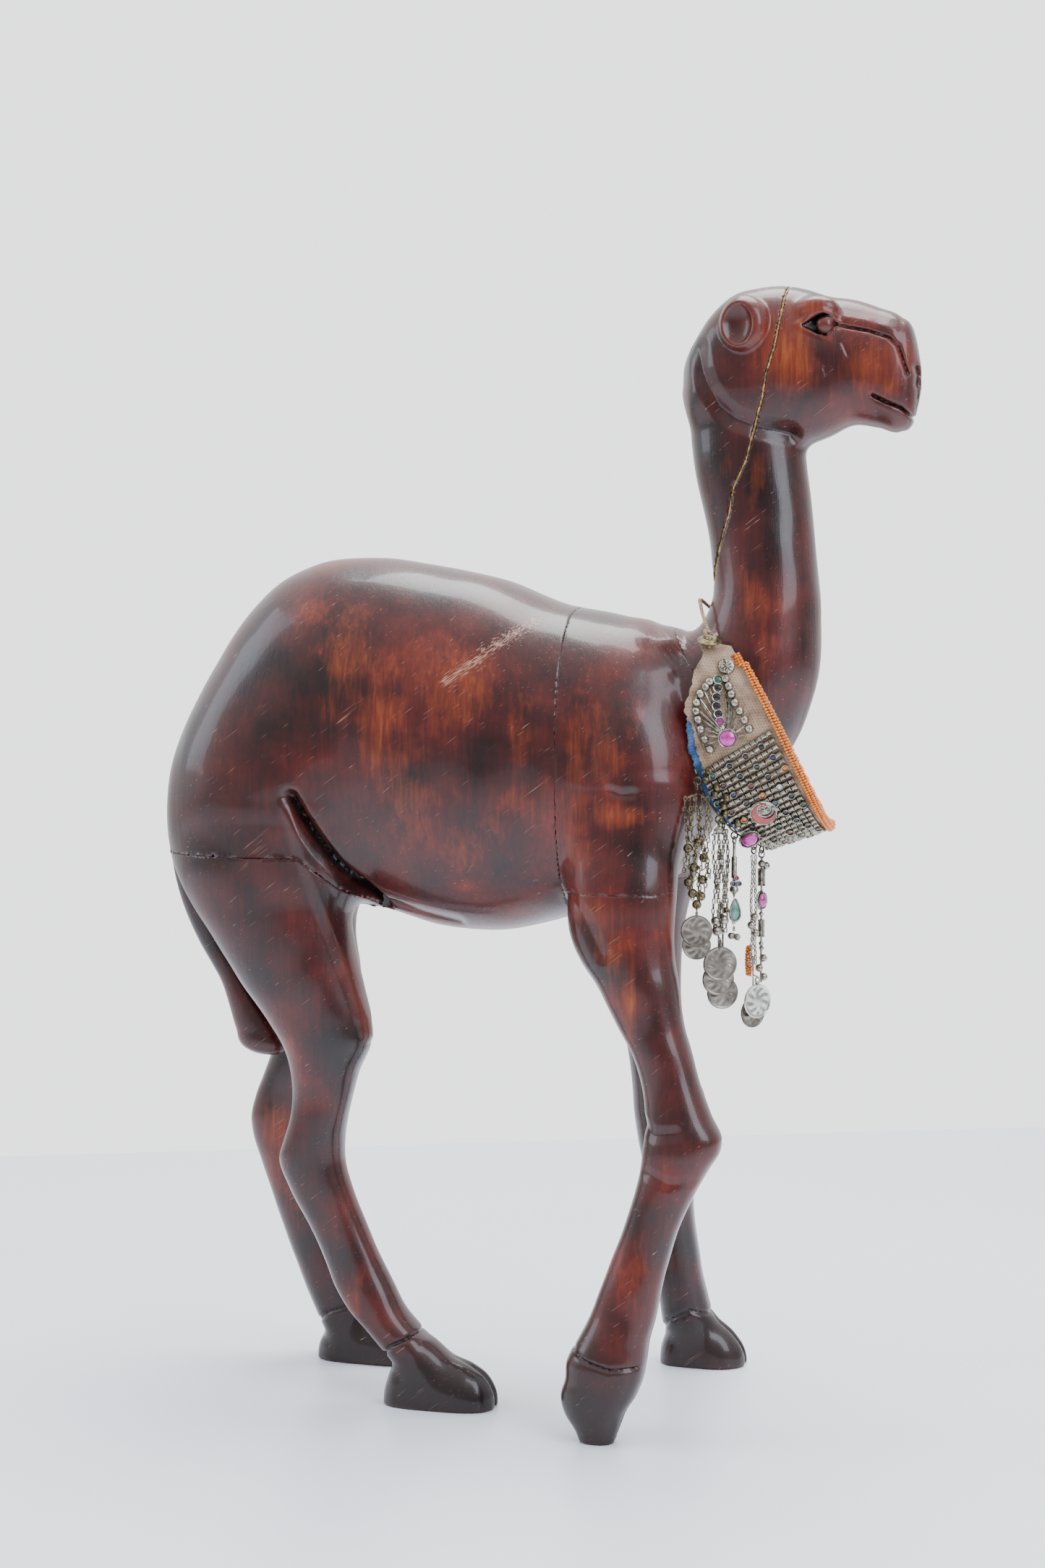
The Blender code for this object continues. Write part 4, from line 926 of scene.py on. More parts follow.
@dataclass
class WoodenCamel:
    """The statue's wooden blocks, carved together and sawn apart.

    Attributes:
        carving: the field that all blocks share.
        gap: half the space between blocks, mm; less than 0 presses them into each other.
        coarse: how many times coarser the skin is made while trying things.
        seam_x: where the barrel is glued to the shoulder.
        leg_z: height of the forelegs' joints.
        thigh_y: how far from the middle the hind legs are sawn off.
        feel_out: how far outside the surface it is tested for hollows.
        feel_in: how far inside it is tested for proud edges.
        flat: points lower than this are set down on the floor.
    """

    carving: Carving = field(default_factory=Carving)
    gap: float = -0.3
    coarse: float = 1.0
    seam_x: float = 46.0
    leg_z: float = 395.0
    thigh_y: float = 15.0
    feel_out: float = 7.0
    feel_in: float = 4.0
    flat: float = 0.4

    # places rubbed through to lighter wood: x, y, z, radii along each, strength
    RUBBED = np.array([
        (214, -34, 776, 17, 30, 24, 1.0), (196, -38, 782, 9, 30, 22, 0.7), (256, -26, 776, 16, 30, 14, 0.8),
        (222, -32, 818, 10, 20, 8, 0.8), (281, -20, 760, 8, 20, 10, 0.6),
        (160, -34, 706, 9, 26, 22, 0.6), (184, -30, 694, 9, 26, 26, 0.9), (148, -34, 680, 8, 26, 20, 0.5),
        (182, -36, 620, 12, 26, 46, 0.4), (190, -50, 545, 12, 26, 40, 0.35),
        (-118, -80, 562, 22, 40, 46, 0.85), (-88, -88, 520, 16, 40, 40, 0.7),
        (-70, -88, 640, 40, 40, 10, 0.8),
        (-28, -70, 622, 26, 40, 14, 0.9), (-20, -85, 545, 22, 40, 30, 0.6), (-66, -90, 470, 24, 40, 36, 0.6),
        (-10, -92, 440, 30, 40, 40, 0.35), (20, -90, 500, 14, 40, 60, 0.45), (62, -86, 490, 10, 40, 60, 0.6),
        (96, -88, 452, 22, 30, 9, 1.0), (84, -88, 500, 12, 30, 30, 0.6), (104, -88, 520, 12, 30, 26, 0.5),
        (-150, -86, 600, 26, 40, 14, 0.5), (-130, -86, 430, 16, 30, 30, 0.35),
        (-178, -60, 300, 12, 30, 60, 0.3),
        (88, -100, 352, 14, 30, 18, 0.9), (104, -105, 318, 8, 30, 30, 0.7), (70, -100, 380, 10, 30, 14, 0.4),
        (136, -115, 238, 10, 20, 14, 0.35), (118, -118, 150, 8, 20, 36, 0.35),
        (-208, 30, 190, 14, 40, 26, 0.7), (-196, 30, 130, 10, 40, 40, 0.5), (-112, -74, 96, 9, 20, 40, 0.4),
        (-148, -76, 200, 9, 20, 40, 0.3), (106, 80, 150, 12, 30, 40, 0.5), (110, 80, 70, 10, 30, 26, 0.4),
    ])
    # the raking scrape over the ribs: its two ends and half width in (x, z)
    SCRAPE = ((-36.0, 548.0), (22.0, 592.0), 9.0)

    def blocks(self) -> list[Block]:
        """How the carving is sawn: outlines follow the crack in the neck and the glued joints."""
        g, line = self.gap, 0.9
        crack, seam, leg = NECK_CRACK, self.seam_x, self.leg_z
        thigh = np.vstack([THIGH_TOP + (0, -g), [(-20, 300), (0, -20), (-330, -20)]])
        room = np.vstack([THIGH_TOP + (0, g), [(-15, 300), (0, -25), (-335, -25)]])
        foreleg = np.array([(seam + g, leg - g), (235, leg - g), (235, -20), (20, -20), (20, 300),
                            (seam + g, 340)])
        barrel = np.array([(seam - g, 900), (seam - g, 300), (-20, 300), (-60, 200), (-340, 200),
                           (-340, 900)])
        shoulder = np.vstack([[(seam + g, 860), (107, 860), (108, 640)], NECK_FOOT - g,
                              [(235, leg + g), (seam + g, leg + g)]])
        front = np.vstack([crack + (line, 0), NECK_FOOT + g + 0.1, [(420, 420), (420, 870)]])
        back = np.vstack([[(60, 860)], crack - (line, 0), [(119, 586.8), (107, 641), (60, 641)]])
        glue = np.vstack([crack - (line - 0.15, 0), (crack + (line - 0.15, 0))[::-1]])
        far = self.thigh_y
        return [
            Block("body_block", (-302, -108, 236), (54, 108, 650), 2.05, Saw(barrel),
                  [Saw(room, -200, 2 * g - far), Saw(room, far - 2 * g, 200)]),
            Block("shoulder_block", (38, -112, 386), (200, 112, 612), 1.6, Saw(shoulder)),
            Block("neck_head_block", (100, -62, 470), (310, 62, 846), 1.22, Saw(front)),
            Block("nape_block", (60, -62, 580), (216, 62, 846), 1.2, Saw(back)),
            Block("neck_glue_line", (128, -62, 592), (216, 62, 846), 0.8, Saw(glue), sunk=0.5),
            Block("foreleg_near", (14, -144, -4), (196, 8, 404), 1.3, Saw(foreleg, -200, -g)),
            Block("foreleg_far", (14, -8, -4), (196, 144, 404), 1.3, Saw(foreleg, g, 200)),
            Block("hindleg_near", (-302, -112, -4), (12, -8, 424), 1.4, Saw(thigh, -200, -far)),
            Block("hindleg_far", (-302, 8, -4), (12, 112, 424), 1.4, Saw(thigh, far, 200)),
        ]

    def rubbed(self, p: Array) -> Array:
        """How far each point is rubbed: the largest of the places' bell curves, on either flank."""
        out = np.zeros(len(p))
        q = np.column_stack([p[:, 0], -np.abs(p[:, 1]), p[:, 2]])
        for x, y, z, rx, ry, rz, strength in self.RUBBED:
            far = ((q - (x, -abs(y), z)) / (rx, ry, rz)) ** 2
            out = np.maximum(out, strength * np.exp(-far.sum(1)))
        return out

    def scraped(self, p: Array) -> Array:
        """How far each point lies in the raking scrape on the near side."""
        a, b, half = np.array(self.SCRAPE[0]), np.array(self.SCRAPE[1]), self.SCRAPE[2]
        d = path_distance(p[:, 0], p[:, 2], np.array([a, b]))
        return np.clip(1 - d / half, 0, 1) * (p[:, 1] < -40)

    def carve(self, block: Block) -> Object:
        """Skin one block and note where its surface is hollow, proud or rubbed.

        Args:
            block: which block, and how.

        Returns:
            The block, riding on the camel's body.
        """
        def sawn(p: Array) -> Array:
            d = np.maximum(self.carving.distance(p) + block.sunk, block.keep.distance(p))
            for saw in block.remove:
                d = np.maximum(d, -saw.distance(p))
            return d

        step = block.step * self.coarse
        low, high = np.array(block.low, float), np.array(block.high, float)
        grid = sample_near(sawn, low, high, step)
        verts, quads = skin(grid, low, step)
        verts, normal = settle(verts, sawn, step)
        verts[:, 2] = np.where(verts[:, 2] < self.flat, 0.0, verts[:, 2])
        hollow = 1 - self.carving.distance(verts + self.feel_out * normal) / self.feel_out
        proud = 1 + self.carving.distance(verts - self.feel_in * normal) / self.feel_in
        finish = DRIED_FILLER if block.node == "neck_glue_line" else STAINED_WOOD
        obj = new_piece(block.node.replace("_block", "") + "_wood", verts, quads, finish)
        for name, values in (("hollow", np.clip(hollow, 0, 1)), ("proud", np.clip(proud, 0, 1)),
                             ("rubbed", self.rubbed(verts)), ("scraped", self.scraped(verts))):
            layer = obj.data.attributes.new(name, "FLOAT", "POINT")
            layer.data.foreach_set("value", values.astype(np.float32))
        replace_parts(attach(obj, "camel"), block.node)
        LOG.info("%s: %d quads", obj.name, len(quads))
        return obj

    def build(self) -> list[Object]:
        """Carve every block."""
        return [self.carve(block) for block in self.blocks()]


# ---------------------------------------------------------------- small shapes
def rounds(rings: int, sides: int, closed: bool = False) -> Array:
    """Quads between rings of points that follow each other; closed joins the last ring to the first."""
    i = np.arange(sides)
    j = (i + 1) % sides
    row = np.arange(rings - 1 + closed)[:, None]
    ahead = (row + 1) % rings * sides
    row = row * sides
    return np.stack([row + i, ahead + i, ahead + j, row + j], 2).reshape(-1, 4)


def lid(first: int, sides: int, pole: int, way: int = 1) -> Array:
    """Triangles from the ring that starts at one point number to a pole; a way of -1 turns them over."""
    i = np.arange(sides)
    pair = (first + i, first + (i + 1) % sides)[::way]
    return np.column_stack([*pair, np.full(sides, pole), np.full(sides, -1)])


@dataclass
class Shape:
    """Points in mm and faces of four corners, the last of them -1 on a triangle."""

    verts: Array
    faces: Array

    @staticmethod
    def turned(profile: list[tuple[float, float]], sides: int = 12) -> Shape:
        """Profile of (radius, height) carried round Z: (r cos t, r sin t, h); a radius of 0 is a pole.

        Args:
            profile: from the top of the axis down the outer side to the axis again.
            sides: how many steps round.

        Returns:
            The closed shape.
        """
        rings = np.array([row for row in profile if row[0] > 0], float)
        t = turn_round(sides)
        verts = np.stack([rings[:, :1] * np.cos(t), rings[:, :1] * np.sin(t),
                          np.repeat(rings[:, 1:], sides, 1)], 2).reshape(-1, 3)
        size = len(verts)
        faces = [rounds(len(rings), sides), lid(0, sides, size), lid(size - sides, sides, size + 1, -1)]
        return Shape(np.vstack([verts, (0, 0, profile[0][1]), (0, 0, profile[-1][1])]), np.vstack(faces))

    @staticmethod
    def ball(radius: float, sides: int = 10, rows: int = 6) -> Shape:
        """Sphere as the half circle (R sin u, R cos u) turned round Z."""
        u = np.linspace(0, np.pi, rows + 1)
        return Shape.turned([(radius * math.sin(a) * (0 < a < 3.14), radius * math.cos(a)) for a in u], sides)

    @staticmethod
    def swept(path: Array, radius: float | Array, sides: int = 6, closed: bool = False) -> Shape:
        """Circle carried along a path: path + r (cos t across + sin t up), square to its tangent.

        Args:
            path: points in mm.
            radius: one radius, or one for each point.
            sides: how many steps round the circle.
            closed: whether the path joins up.

        Returns:
            The closed tube or ring.
        """
        path = np.asarray(path, float)
        way = (np.roll(path, -1, 0) - np.roll(path, 1, 0)) if closed else np.gradient(path, axis=0)
        way = unit(way)
        spread = np.linalg.svd(path - path.mean(0), full_matrices=False)[2][-1]
        lean = np.where(np.abs(way @ spread)[:, None] > 0.9, np.roll(spread, 1), spread)
        across = unit(np.cross(way, lean))
        up = np.cross(across, way)
        t = turn_round(sides)
        r = np.broadcast_to(np.asarray(radius, float), len(path))[:, None, None]
        verts = (path[:, None] + r * (np.cos(t)[None, :, None] * across[:, None]
                                      + np.sin(t)[None, :, None] * up[:, None])).reshape(-1, 3)
        size, faces = len(verts), rounds(len(path), sides, closed)
        if not closed:
            faces = np.vstack([faces, lid(0, sides, size), lid(size - sides, sides, size + 1, -1)])
            verts = np.vstack([verts, path[0], path[-1]])
        return Shape(verts, faces)

    @staticmethod
    def ring(radius: float, wire: float, steps: int = 14, sides: int = 5) -> Shape:
        """Round wire ring in the XY plane."""
        t = turn_round(steps)
        circle = np.column_stack([radius * np.cos(t), radius * np.sin(t), 0 * t])
        return Shape.swept(circle, wire, sides, True)

    def scaled(self, x: float, y: float, z: float) -> Shape:
        """The shape with each axis stretched."""
        return Shape(self.verts * (x, y, z), self.faces)

    def stamped(self, frames: Array) -> Shape:
        """Copies of the shape: for each 3 by 4 frame, its turn times the points, plus its place."""
        frames = np.asarray(frames, float).reshape(-1, 3, 4)
        verts = np.einsum("kij,nj->kni", frames[:, :, :3], self.verts) + frames[:, None, :, 3]
        step = (np.arange(len(frames)) * len(self.verts))[:, None, None]
        faces = np.where(self.faces < 0, -1, self.faces + step).reshape(-1, 4)
        return Shape(verts.reshape(-1, 3), faces)

    def __add__(self, other: Shape) -> Shape:
        """Both shapes as one."""
        moved = np.where(other.faces < 0, -1, other.faces + len(self.verts))
        return Shape(np.vstack([self.verts, other.verts]), np.vstack([self.faces, moved]))

    def piece(self, name: str, finish: Finish, smooth: float = 40.0) -> Object:
        """Make the object."""
        corners = [face[face >= 0].tolist() for face in self.faces]
        return new_piece(name, self.verts, corners, finish, smooth)


def gather(shapes: list[Shape]) -> Shape:
    """All the shapes as one."""
    total = shapes[0]
    for shape in shapes[1:]:
        total = total + shape
    return total


def frame_of(x: Array, y: Array, z: Array, place: Array) -> Array:
    """3 by 4 frame from three directions and a place."""
    return np.column_stack([x, y, z, place])


# ---------------------------------------------------------------- the band round the neck
BAND_SHAPE = np.array([(0, 44, -0.35), (18, 47, -0.35), (36, 59, -0.25), (55, 66, -0.17), (78, 62, -0.13),
                       (97, 52, -0.10), (108, 38, 0.05), (120, 23, 0.20), (150, 17, 0.25), (180, 17, 0.25)])


@dataclass
class Band:
    """The surface that the choker lies on. phi is in degrees from the hanging front (0) to the nape (180)
    on the near side, less than 0 on the far side; v runs from the head-side edge (0) to the body side (1).

    Attributes:
        wood: the blocks that it lies on.
        top: middle of the head-side edge in XZ.
        lean: direction in XZ from the nape to the hanging front.
        front, nape: how far the head-side edge lies from its middle at the front and at the nape.
        half, flare: half width across the neck, and what is added to it at the body side.
        bulge: how far the flanks of the edge bow out of their plane.
        clear: space left between the wood and the band.
        swing: how far the far half is swung back, as the choker hangs askew.
    """

    wood: list[Object]
    top: tuple[float, float] = (190.5, 519.5)
    lean: tuple[float, float] = (0.466, -0.885)
    front: float = 87.0
    nape: float = 95.0
    half: float = 57.0
    flare: float = 8.0
    bulge: float = 7.0
    swing: float = 39.0
    clear: float = 1.2

    def __post_init__(self) -> None:
        """Feel for the wood once, on a grid of rays towards the band's middle line."""
        points, faces = [], []
        for block in self.wood:
            start = len(points)
            points += [(np.array(v.co) / MM - BENCH).tolist() for v in block.data.vertices]
            faces += [[i + start for i in f.vertices] for f in block.data.polygons]
        tree = BVHTree.FromPolygons(points, faces)
        self.phis, self.vs = np.linspace(-180, 180, 121), np.linspace(-0.3, 1.3, 17)
        phi, v = np.meshgrid(self.phis, self.vs, indexing="ij")
        core, way, reach = self.free(phi.ravel(), v.ravel())
        for i, (c, w) in enumerate(zip(core, way)):
            hit = tree.ray_cast(Vector(c + w * 260), -Vector(w), 260)[0]
            if hit is not None:
                reach[i] = max(reach[i], (np.array(hit) - c) @ w + self.clear)
        self.reach = reach.reshape(phi.shape)

    def free(self, phi: Array, v: Array) -> tuple[Array, Array, Array]:
        """The band before it meets wood: an ellipse about a line, carried across the width.

        Args:
            phi: angles, degrees.
            v: places across.

        Returns:
            Points on the middle line, unit directions outwards, and distances along them.
        """
        a = np.radians(phi)
        bow = self.bulge * np.sin(a) ** 2
        across, width = self.across(phi)
        core = np.column_stack([self.top[0] - self.lean[1] * bow, 0 * a, self.top[1] + self.lean[0] * bow])
        core = core + across * (width * v)[:, None]
        swing = self.swing * (1 - 0.9 * np.clip(v, 0, 1)) * (0.5 + 0.5 * np.cos(a))
        core[:, 0] -= swing * np.maximum(-np.sin(a), 0) * (1 - np.exp(-(phi / 8) ** 2))
        wide = self.half + self.flare * np.clip(v, 0, 1)
        long = self.front + (self.nape - self.front) * (0.5 - 0.5 * np.cos(a))
        flat = np.column_stack([np.cos(a) * self.lean[0] * long, -np.sin(a) * wide,
                                np.cos(a) * self.lean[1] * long])
        reach = np.linalg.norm(flat, axis=1)
        return core, flat / reach[:, None], reach

    def across(self, phi: Array) -> tuple[Array, Array]:
        """Unit direction from the head side to the body side, and the width, at each angle."""
        a = np.minimum(np.abs((phi + 180) % 360 - 180), 179.99)
        k = np.clip(np.searchsorted(BAND_SHAPE[:, 0], a, "right") - 1, 0, len(BAND_SHAPE) - 2)
        t = (a - BAND_SHAPE[k, 0]) / (BAND_SHAPE[k + 1, 0] - BAND_SHAPE[k, 0])
        t = (ease(t) + t) / 2
        width, rise = (BAND_SHAPE[k, c] + (BAND_SHAPE[k + 1, c] - BAND_SHAPE[k, c]) * t for c in (1, 2))
        way = np.column_stack([-np.ones_like(a), 0 * a, rise])
        return unit(way), width

    def at(self, phi: Array, v: Array, lift: Array | float = 0.0) -> Array:
        """Points on the band, lifted off the cloth's inner face; reach is read between the rays."""
        phi, v, lift = (np.ravel(x).astype(float) for x in np.broadcast_arrays(phi, v, lift))
        core, way, _ = self.free(phi, v)
        i = np.interp((phi + 180) % 360 - 180, self.phis, np.arange(len(self.phis)))
        j = np.interp(v, self.vs, np.arange(len(self.vs)))
        i0, j0 = np.minimum(i.astype(int), len(self.phis) - 2), np.minimum(j.astype(int), len(self.vs) - 2)
        s, t = i - i0, j - j0
        reach = ((1 - s) * (1 - t) * self.reach[i0, j0] + s * (1 - t) * self.reach[i0 + 1, j0]
                 + (1 - s) * t * self.reach[i0, j0 + 1] + s * t * self.reach[i0 + 1, j0 + 1])
        return core + way * (reach + lift)[:, None]

    def frames(self, phi: Array, v: Array, lift: Array | float = 0.0) -> Array:
        """Frames on the band: x along it with growing phi, y towards the body, z outwards."""
        phi, v, lift = (np.ravel(x).astype(float) for x in np.broadcast_arrays(phi, v, lift))
        place = self.at(phi, v, lift)
        x = unit(self.at(phi + 4, v) - self.at(phi - 4, v))
        y = self.at(phi, np.minimum(v + 0.1, 1)) - self.at(phi, np.maximum(v - 0.1, 0))
        z = unit(np.cross(x, y))
        return np.stack([x, np.cross(z, x), z, place], 2)

    def run(self, start: float, stop: float, v: float, pitch: float) -> Array:
        """Angles between two ends, evenly spaced along the band by about one pitch."""
        phi = np.linspace(start, stop, 400)
        length = run_along(self.at(phi, v))
        return np.interp(np.linspace(0, length[-1], max(2, round(length[-1] / pitch) + 1)), length, phi)


# ---------------------------------------------------------------- choker finishes
@dataclass(frozen=True)
class WovenCotton(Finish):
    """Hand-woven cotton, soft and soiled: plain weave read from the cloth's own map, in threads."""

    dark: str = "#000000"
    light: str = "#ffffff"

    def pattern(self, tree: Tree, shader: Node, place: Socket) -> None:
        """Two crossed sets of threads 1.1 mm apart, and soiling in blotches of 10 mm."""
        # threads are drawn twice as coarse as real ones, so that they show
        cloth = add(tree, "UVMap", uv_map="cloth").outputs[0]
        warp = add(tree, "TexWave", {"Vector": cloth, "Scale": 0.145, "Distortion": 0.6}, bands_direction="X")
        weft = add(tree, "TexWave", {"Vector": cloth, "Scale": 0.145, "Distortion": 0.6}, bands_direction="Y")
        weave = add(tree, "Math", {0: warp.outputs["Fac"], 1: weft.outputs["Fac"]}, operation="MAXIMUM")
        soil = add(tree, "TexNoise", {"Vector": place, "Scale": 95.0, "Detail": 4.0}).outputs["Fac"]
        colour = add(tree, "ValToRGB", {"Fac": soil}, [(0.36, self.dark), (0.62, self.light)])
        shade = add(tree, "MapRange", {"Value": weave.outputs[0], "To Min": 0.62, "To Max": 1.0})
        mixed = add(tree, "Mix", {"Factor": 1.0, 6: colour.outputs["Color"], 7: shade.outputs["Result"]},
                    data_type="RGBA", blend_type="MULTIPLY")
        tree.links.new(mixed.outputs[2], shader.inputs["Base Color"])
        bump = add(tree, "Bump", {"Height": weave.outputs[0], "Strength": 0.6, "Distance": 0.0003})
        tree.links.new(bump.outputs[0], shader.inputs["Normal"])


@dataclass(frozen=True)
class ColouredGlass(Finish):
    """Small cut glass stones in a mix of colours, each read from its own points."""

    def pattern(self, tree: Tree, shader: Node, place: Socket) -> None:
        """Colour from the stone's attribute."""
        tint = add(tree, "Attribute", attribute_name="tint").outputs["Color"]
        tree.links.new(tint, shader.inputs["Base Color"])


OLD_SILVER = Speckled("tarnished_tribal_silver", 0.31, 1.0, dark="#6b655a", light="#bdb7a9", per_metre=420)
DARK_BRASS = Speckled("blackened_brass", 0.42, 1.0, dark="#3a3324", light="#8a7d5f", per_metre=380)
NICKEL = Speckled("worn_cupronickel_coin", 0.36, 1.0, dark="#6a635b", light="#958d83", per_metre=90)
BRIGHT_COIN = Speckled("polished_silver_coin", 0.2, 1.0, dark="#a9a79d", light="#dcdad2", per_metre=70)
ORANGE_BEAD = Speckled("orange_glass_seed_beads", 0.22, coat=0.6, dark="#c8560a", light="#f0901c",
                       per_metre=500)
MAGENTA_GLASS = Speckled("foiled_magenta_glass", 0.12, coat=0.8, coat_roughness=0.03, dark="#6e0a66",
                         light="#cc2a9c", per_metre=170)
GREEN_GLASS = Speckled("foiled_sea_green_glass", 0.15, coat=1.0, coat_roughness=0.05, dark="#2f6a5c",
                       light="#6da08f", per_metre=150)
RED_ENAMEL = Speckled("red_enamel", 0.25, coat=0.8, dark="#8a1018", light="#b0222c", per_metre=260)
MIXED_GLASS = ColouredGlass("mixed_glass_stones", 0.2, coat=0.4, coat_roughness=0.05)
TAN_COTTON = WovenCotton("unbleached_cotton", 0.95, sheen=0.1, dark="#8a6f58", light="#b59a82")
TIE_CORD = Speckled("twisted_cotton_cord", 0.95, sheen=0.3, dark="#8b7055", light="#b89c7d", per_metre=500)
BLUE_COTTON = WovenCotton("indigo_cotton", 0.95, sheen=0.1, dark="#274a80", light="#55789f")
STONE_TINTS = ("#14382c", "#16264a", "#5c0f20", "#0c0c10", "#d9761a", "#c8ccd4", "#1d4a52", "#0c0c10",
               "#40101c", "#0c0c10")


@dataclass
class Choker:
    """Everything that is sewn to the band, sizes in mm and angles in degrees.

    Attributes:
        band: the surface it lies on.
        end: how far round the band reaches on each side.
        panel: how far round the woven panel reaches.
        pitch: spacing of the panel's beads, along and across.
        gem: angle, place across and lift of the round stones.
    """

    band: Band
    frame: dict
    end: float = 128.0
    panel: float = 76.0
    pitch: tuple[float, float] = (5.1, 4.3)
    gem: tuple[float, float, float] = (83.0, 0.56, 5.9)

    @classmethod
    def on(cls, blocks: list[Object], frame: dict) -> Choker:
        """Choker on the neck and shoulder blocks."""
        return cls(Band(blocks[1:4]), frame)

    def fix(self, shape: Shape, name: str, finish: Finish, slot: str, *nodes: str,
            body: str = "camel", smooth: float = 40.0) -> Object:
        """Make a piece, let it ride on a body and stand for CAD nodes.

        Args:
            shape: its mesh.
            name: its name.
            finish: its material.
            slot: the record's material slot; not used.
            nodes: the nodes that it replaces.
            body: what it rides on.
            smooth: edges turned further than this many degrees stay sharp.

        Returns:
            The object.
        """
        obj = shape.piece(name, finish, smooth)
        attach(obj, body)
        if nodes:
            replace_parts(obj, *nodes)
        LOG.info("%s: %d faces", name, len(shape.faces))
        return obj

    # ---- cloth
    def cloth(self, name: str, finish: Finish, slot: str, node: str,
              edges: Callable[[Array], tuple[Array, Array]], lift: float, thick: float,
              flat: tuple[float, float], end: float) -> None:
        """Sheet of cloth between two wavering edges: at(phi, v, lift + ripples), then given its thickness.

        Args:
            name: the piece's name.
            finish: its material.
            slot: its slot in the record; not used.
            node: the node that it replaces.
            edges: place across of the head-side and body-side edges at each angle.
            lift: distance out to the middle of the cloth.
            thick: its thickness.
            flat: width and length it was cut to, metres; not used.
            end: how far round it reaches.
        """
        phi = self.band.run(-end, end, 0.5, 2.2)
        rows = 26
        low, high = edges(phi)
        v = low[:, None] + (high - low)[:, None] * np.linspace(0, 1, rows)
        grid = np.broadcast_to(phi[:, None], v.shape)
        ripple = 0.35 * np.sin(grid * 0.7 + 2 * np.sin(v * 5)) * np.sin(v * 9 + grid * 0.11)
        points = self.band.at(grid, v, lift + ripple)
        i, j = np.meshgrid(np.arange(len(phi) - 1), np.arange(rows - 1), indexing="ij")
        first = (i * rows + j).ravel()
        faces = np.column_stack([first, first + rows, first + rows + 1, first + 1])
        obj = new_piece(name, points, faces, finish, 60)
        shell = obj.modifiers.new("thickness", "SOLIDIFY")
        shell.thickness, shell.offset = thick * MM, 0.0
        width = self.band.across(phi)[1]
        run = run_along(self.band.at(phi, 0.5))
        uv = np.column_stack([np.repeat(run, rows), (v * width[:, None]).ravel()])
        layer = obj.data.uv_layers.new(name="cloth")
        corner = np.zeros(len(obj.data.loops), int)
        obj.data.loops.foreach_get("vertex_index", corner)
        layer.data.foreach_set("uv", uv[corner].astype(np.float32).ravel())
        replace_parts(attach(obj, "camel"), node)

    def cloths(self) -> None:
        """Blue lining under a tan backing, whose body-side edges show in turn."""
        def lining(phi: Array) -> tuple[Array, Array]:
            fray = 0.012 * np.sin(phi * 2.3) + 0.008 * np.sin(phi * 5.1)
            return 0 * phi - 0.05, 1.05 + fray - 0.10 * ease((np.abs(phi) - 92) / 12)

        def backing(phi: Array) -> tuple[Array, Array]:
            fray = 0.014 * np.sin(phi * 1.7 + 1) + 0.008 * np.sin(phi * 4.3)
            return 0 * phi - 0.06, 0.97 + fray + 0.07 * ease((np.abs(phi) - 88) / 8)

        self.cloth("indigo_lining", BLUE_COTTON, "cloth_blue", "lining_cloth", lining, 0.45, 0.8,
                   (0.066, 0.372), self.end - 7)
        self.cloth("tan_backing", TAN_COTTON, "cloth_tan", "backing_cloth", backing, 2.0, 1.2,
                   (0.063, 0.362), self.end)

    def edging(self) -> None:
        """Orange seed beads whipped over the head-side edge: ribs of six on an arc about its line."""
        band = self.band
        phi = band.run(-self.end + 5, self.end - 5, 0.0, 2.15)
        _, width = band.across(phi)
        bead = Shape.turned([(0, 0.9), (0.85, 0.85), (1.35, 0.3), (1.35, -0.3), (0.85, -0.85), (0, -0.9)], 7)
        shapes = []
        for k, angle in enumerate(np.radians((-100, -60, -20, 20, 60, 102))):
            lean = (k - 2) * 0.55
            edge = band.frames(phi, -2.6 / width, 2.6)
            wobble = 0.35 * np.sin(phi * 3.1 + k * 2)
            out = 3.3 + wobble
            place = (edge[:, :, 3] - edge[:, :, 1] * (math.cos(angle) * out)[:, None]
                     + edge[:, :, 2] * (math.sin(angle) * out)[:, None] + edge[:, :, 0] * lean)
            shapes.append(bead.stamped(np.stack([edge[:, :, 1], edge[:, :, 2], edge[:, :, 0], place], 2)))
        self.fix(gather(shapes), "orange_edging", ORANGE_BEAD, "beads_orange", "bead_edging", smooth=80)

    # ---- woven panel
    def woven_panel(self) -> None:
        """Tube beads woven with small cups of glass, in rows across the band."""
        band = self.band
        phis = band.run(-self.panel, self.panel, 0.5, self.pitch[0])
        slant = 16.0 * np.sin(np.radians(phis * 90 / self.panel))
        flange = [(0, 2.1), (1.5, 2.1), (2.2, 1.85), (2.2, 1.3), (1.65, 1.1), (1.65, -1.1), (2.2, -1.3),
                  (2.2, -1.85), (1.5, -2.1), (0, -2.1)]
        tube = Shape.turned(flange, 8)
        cup = Shape.turned([(0, 0.9), (2.1, 0.9), (2.2, 3.2), (2.6, 3.4), (2.85, 3.0), (2.6, 0), (0, 0)], 12)
        stone = Shape.turned([(0, 2.6), (1.1, 2.45), (2.2, 2.0), (2.1, 0.8), (0, 0.8)], 10)
        tubes, cups, stones, tints = [], [], [], []
        for row, phi in enumerate(phis):
            width = float(band.across(np.array([phi]))[1][0])
            count = max(3, int(round(width * 0.88 / self.pitch[1])))
            v = np.linspace(0.075, 0.95, count)
            spot = ((np.arange(count) + row) % 3 == 0) & (row % 2 == 0)
            on_row = band.frames(phi + slant[row] * (0.5 - v), v, 4.2)
            out, place = on_row[:, :, 2], on_row[:, :, 3]
            way = unit(np.gradient(place, axis=0))
            side = unit(np.cross(way, out))
            tubes.append(tube.stamped(np.stack([side, np.cross(way, side), way, place], 2)[~spot]))
            if spot.any():
                seat = band.frames(phi + slant[row] * (0.5 - v[spot]), v[spot], 3.5)
                cups.append(cup.stamped(seat))
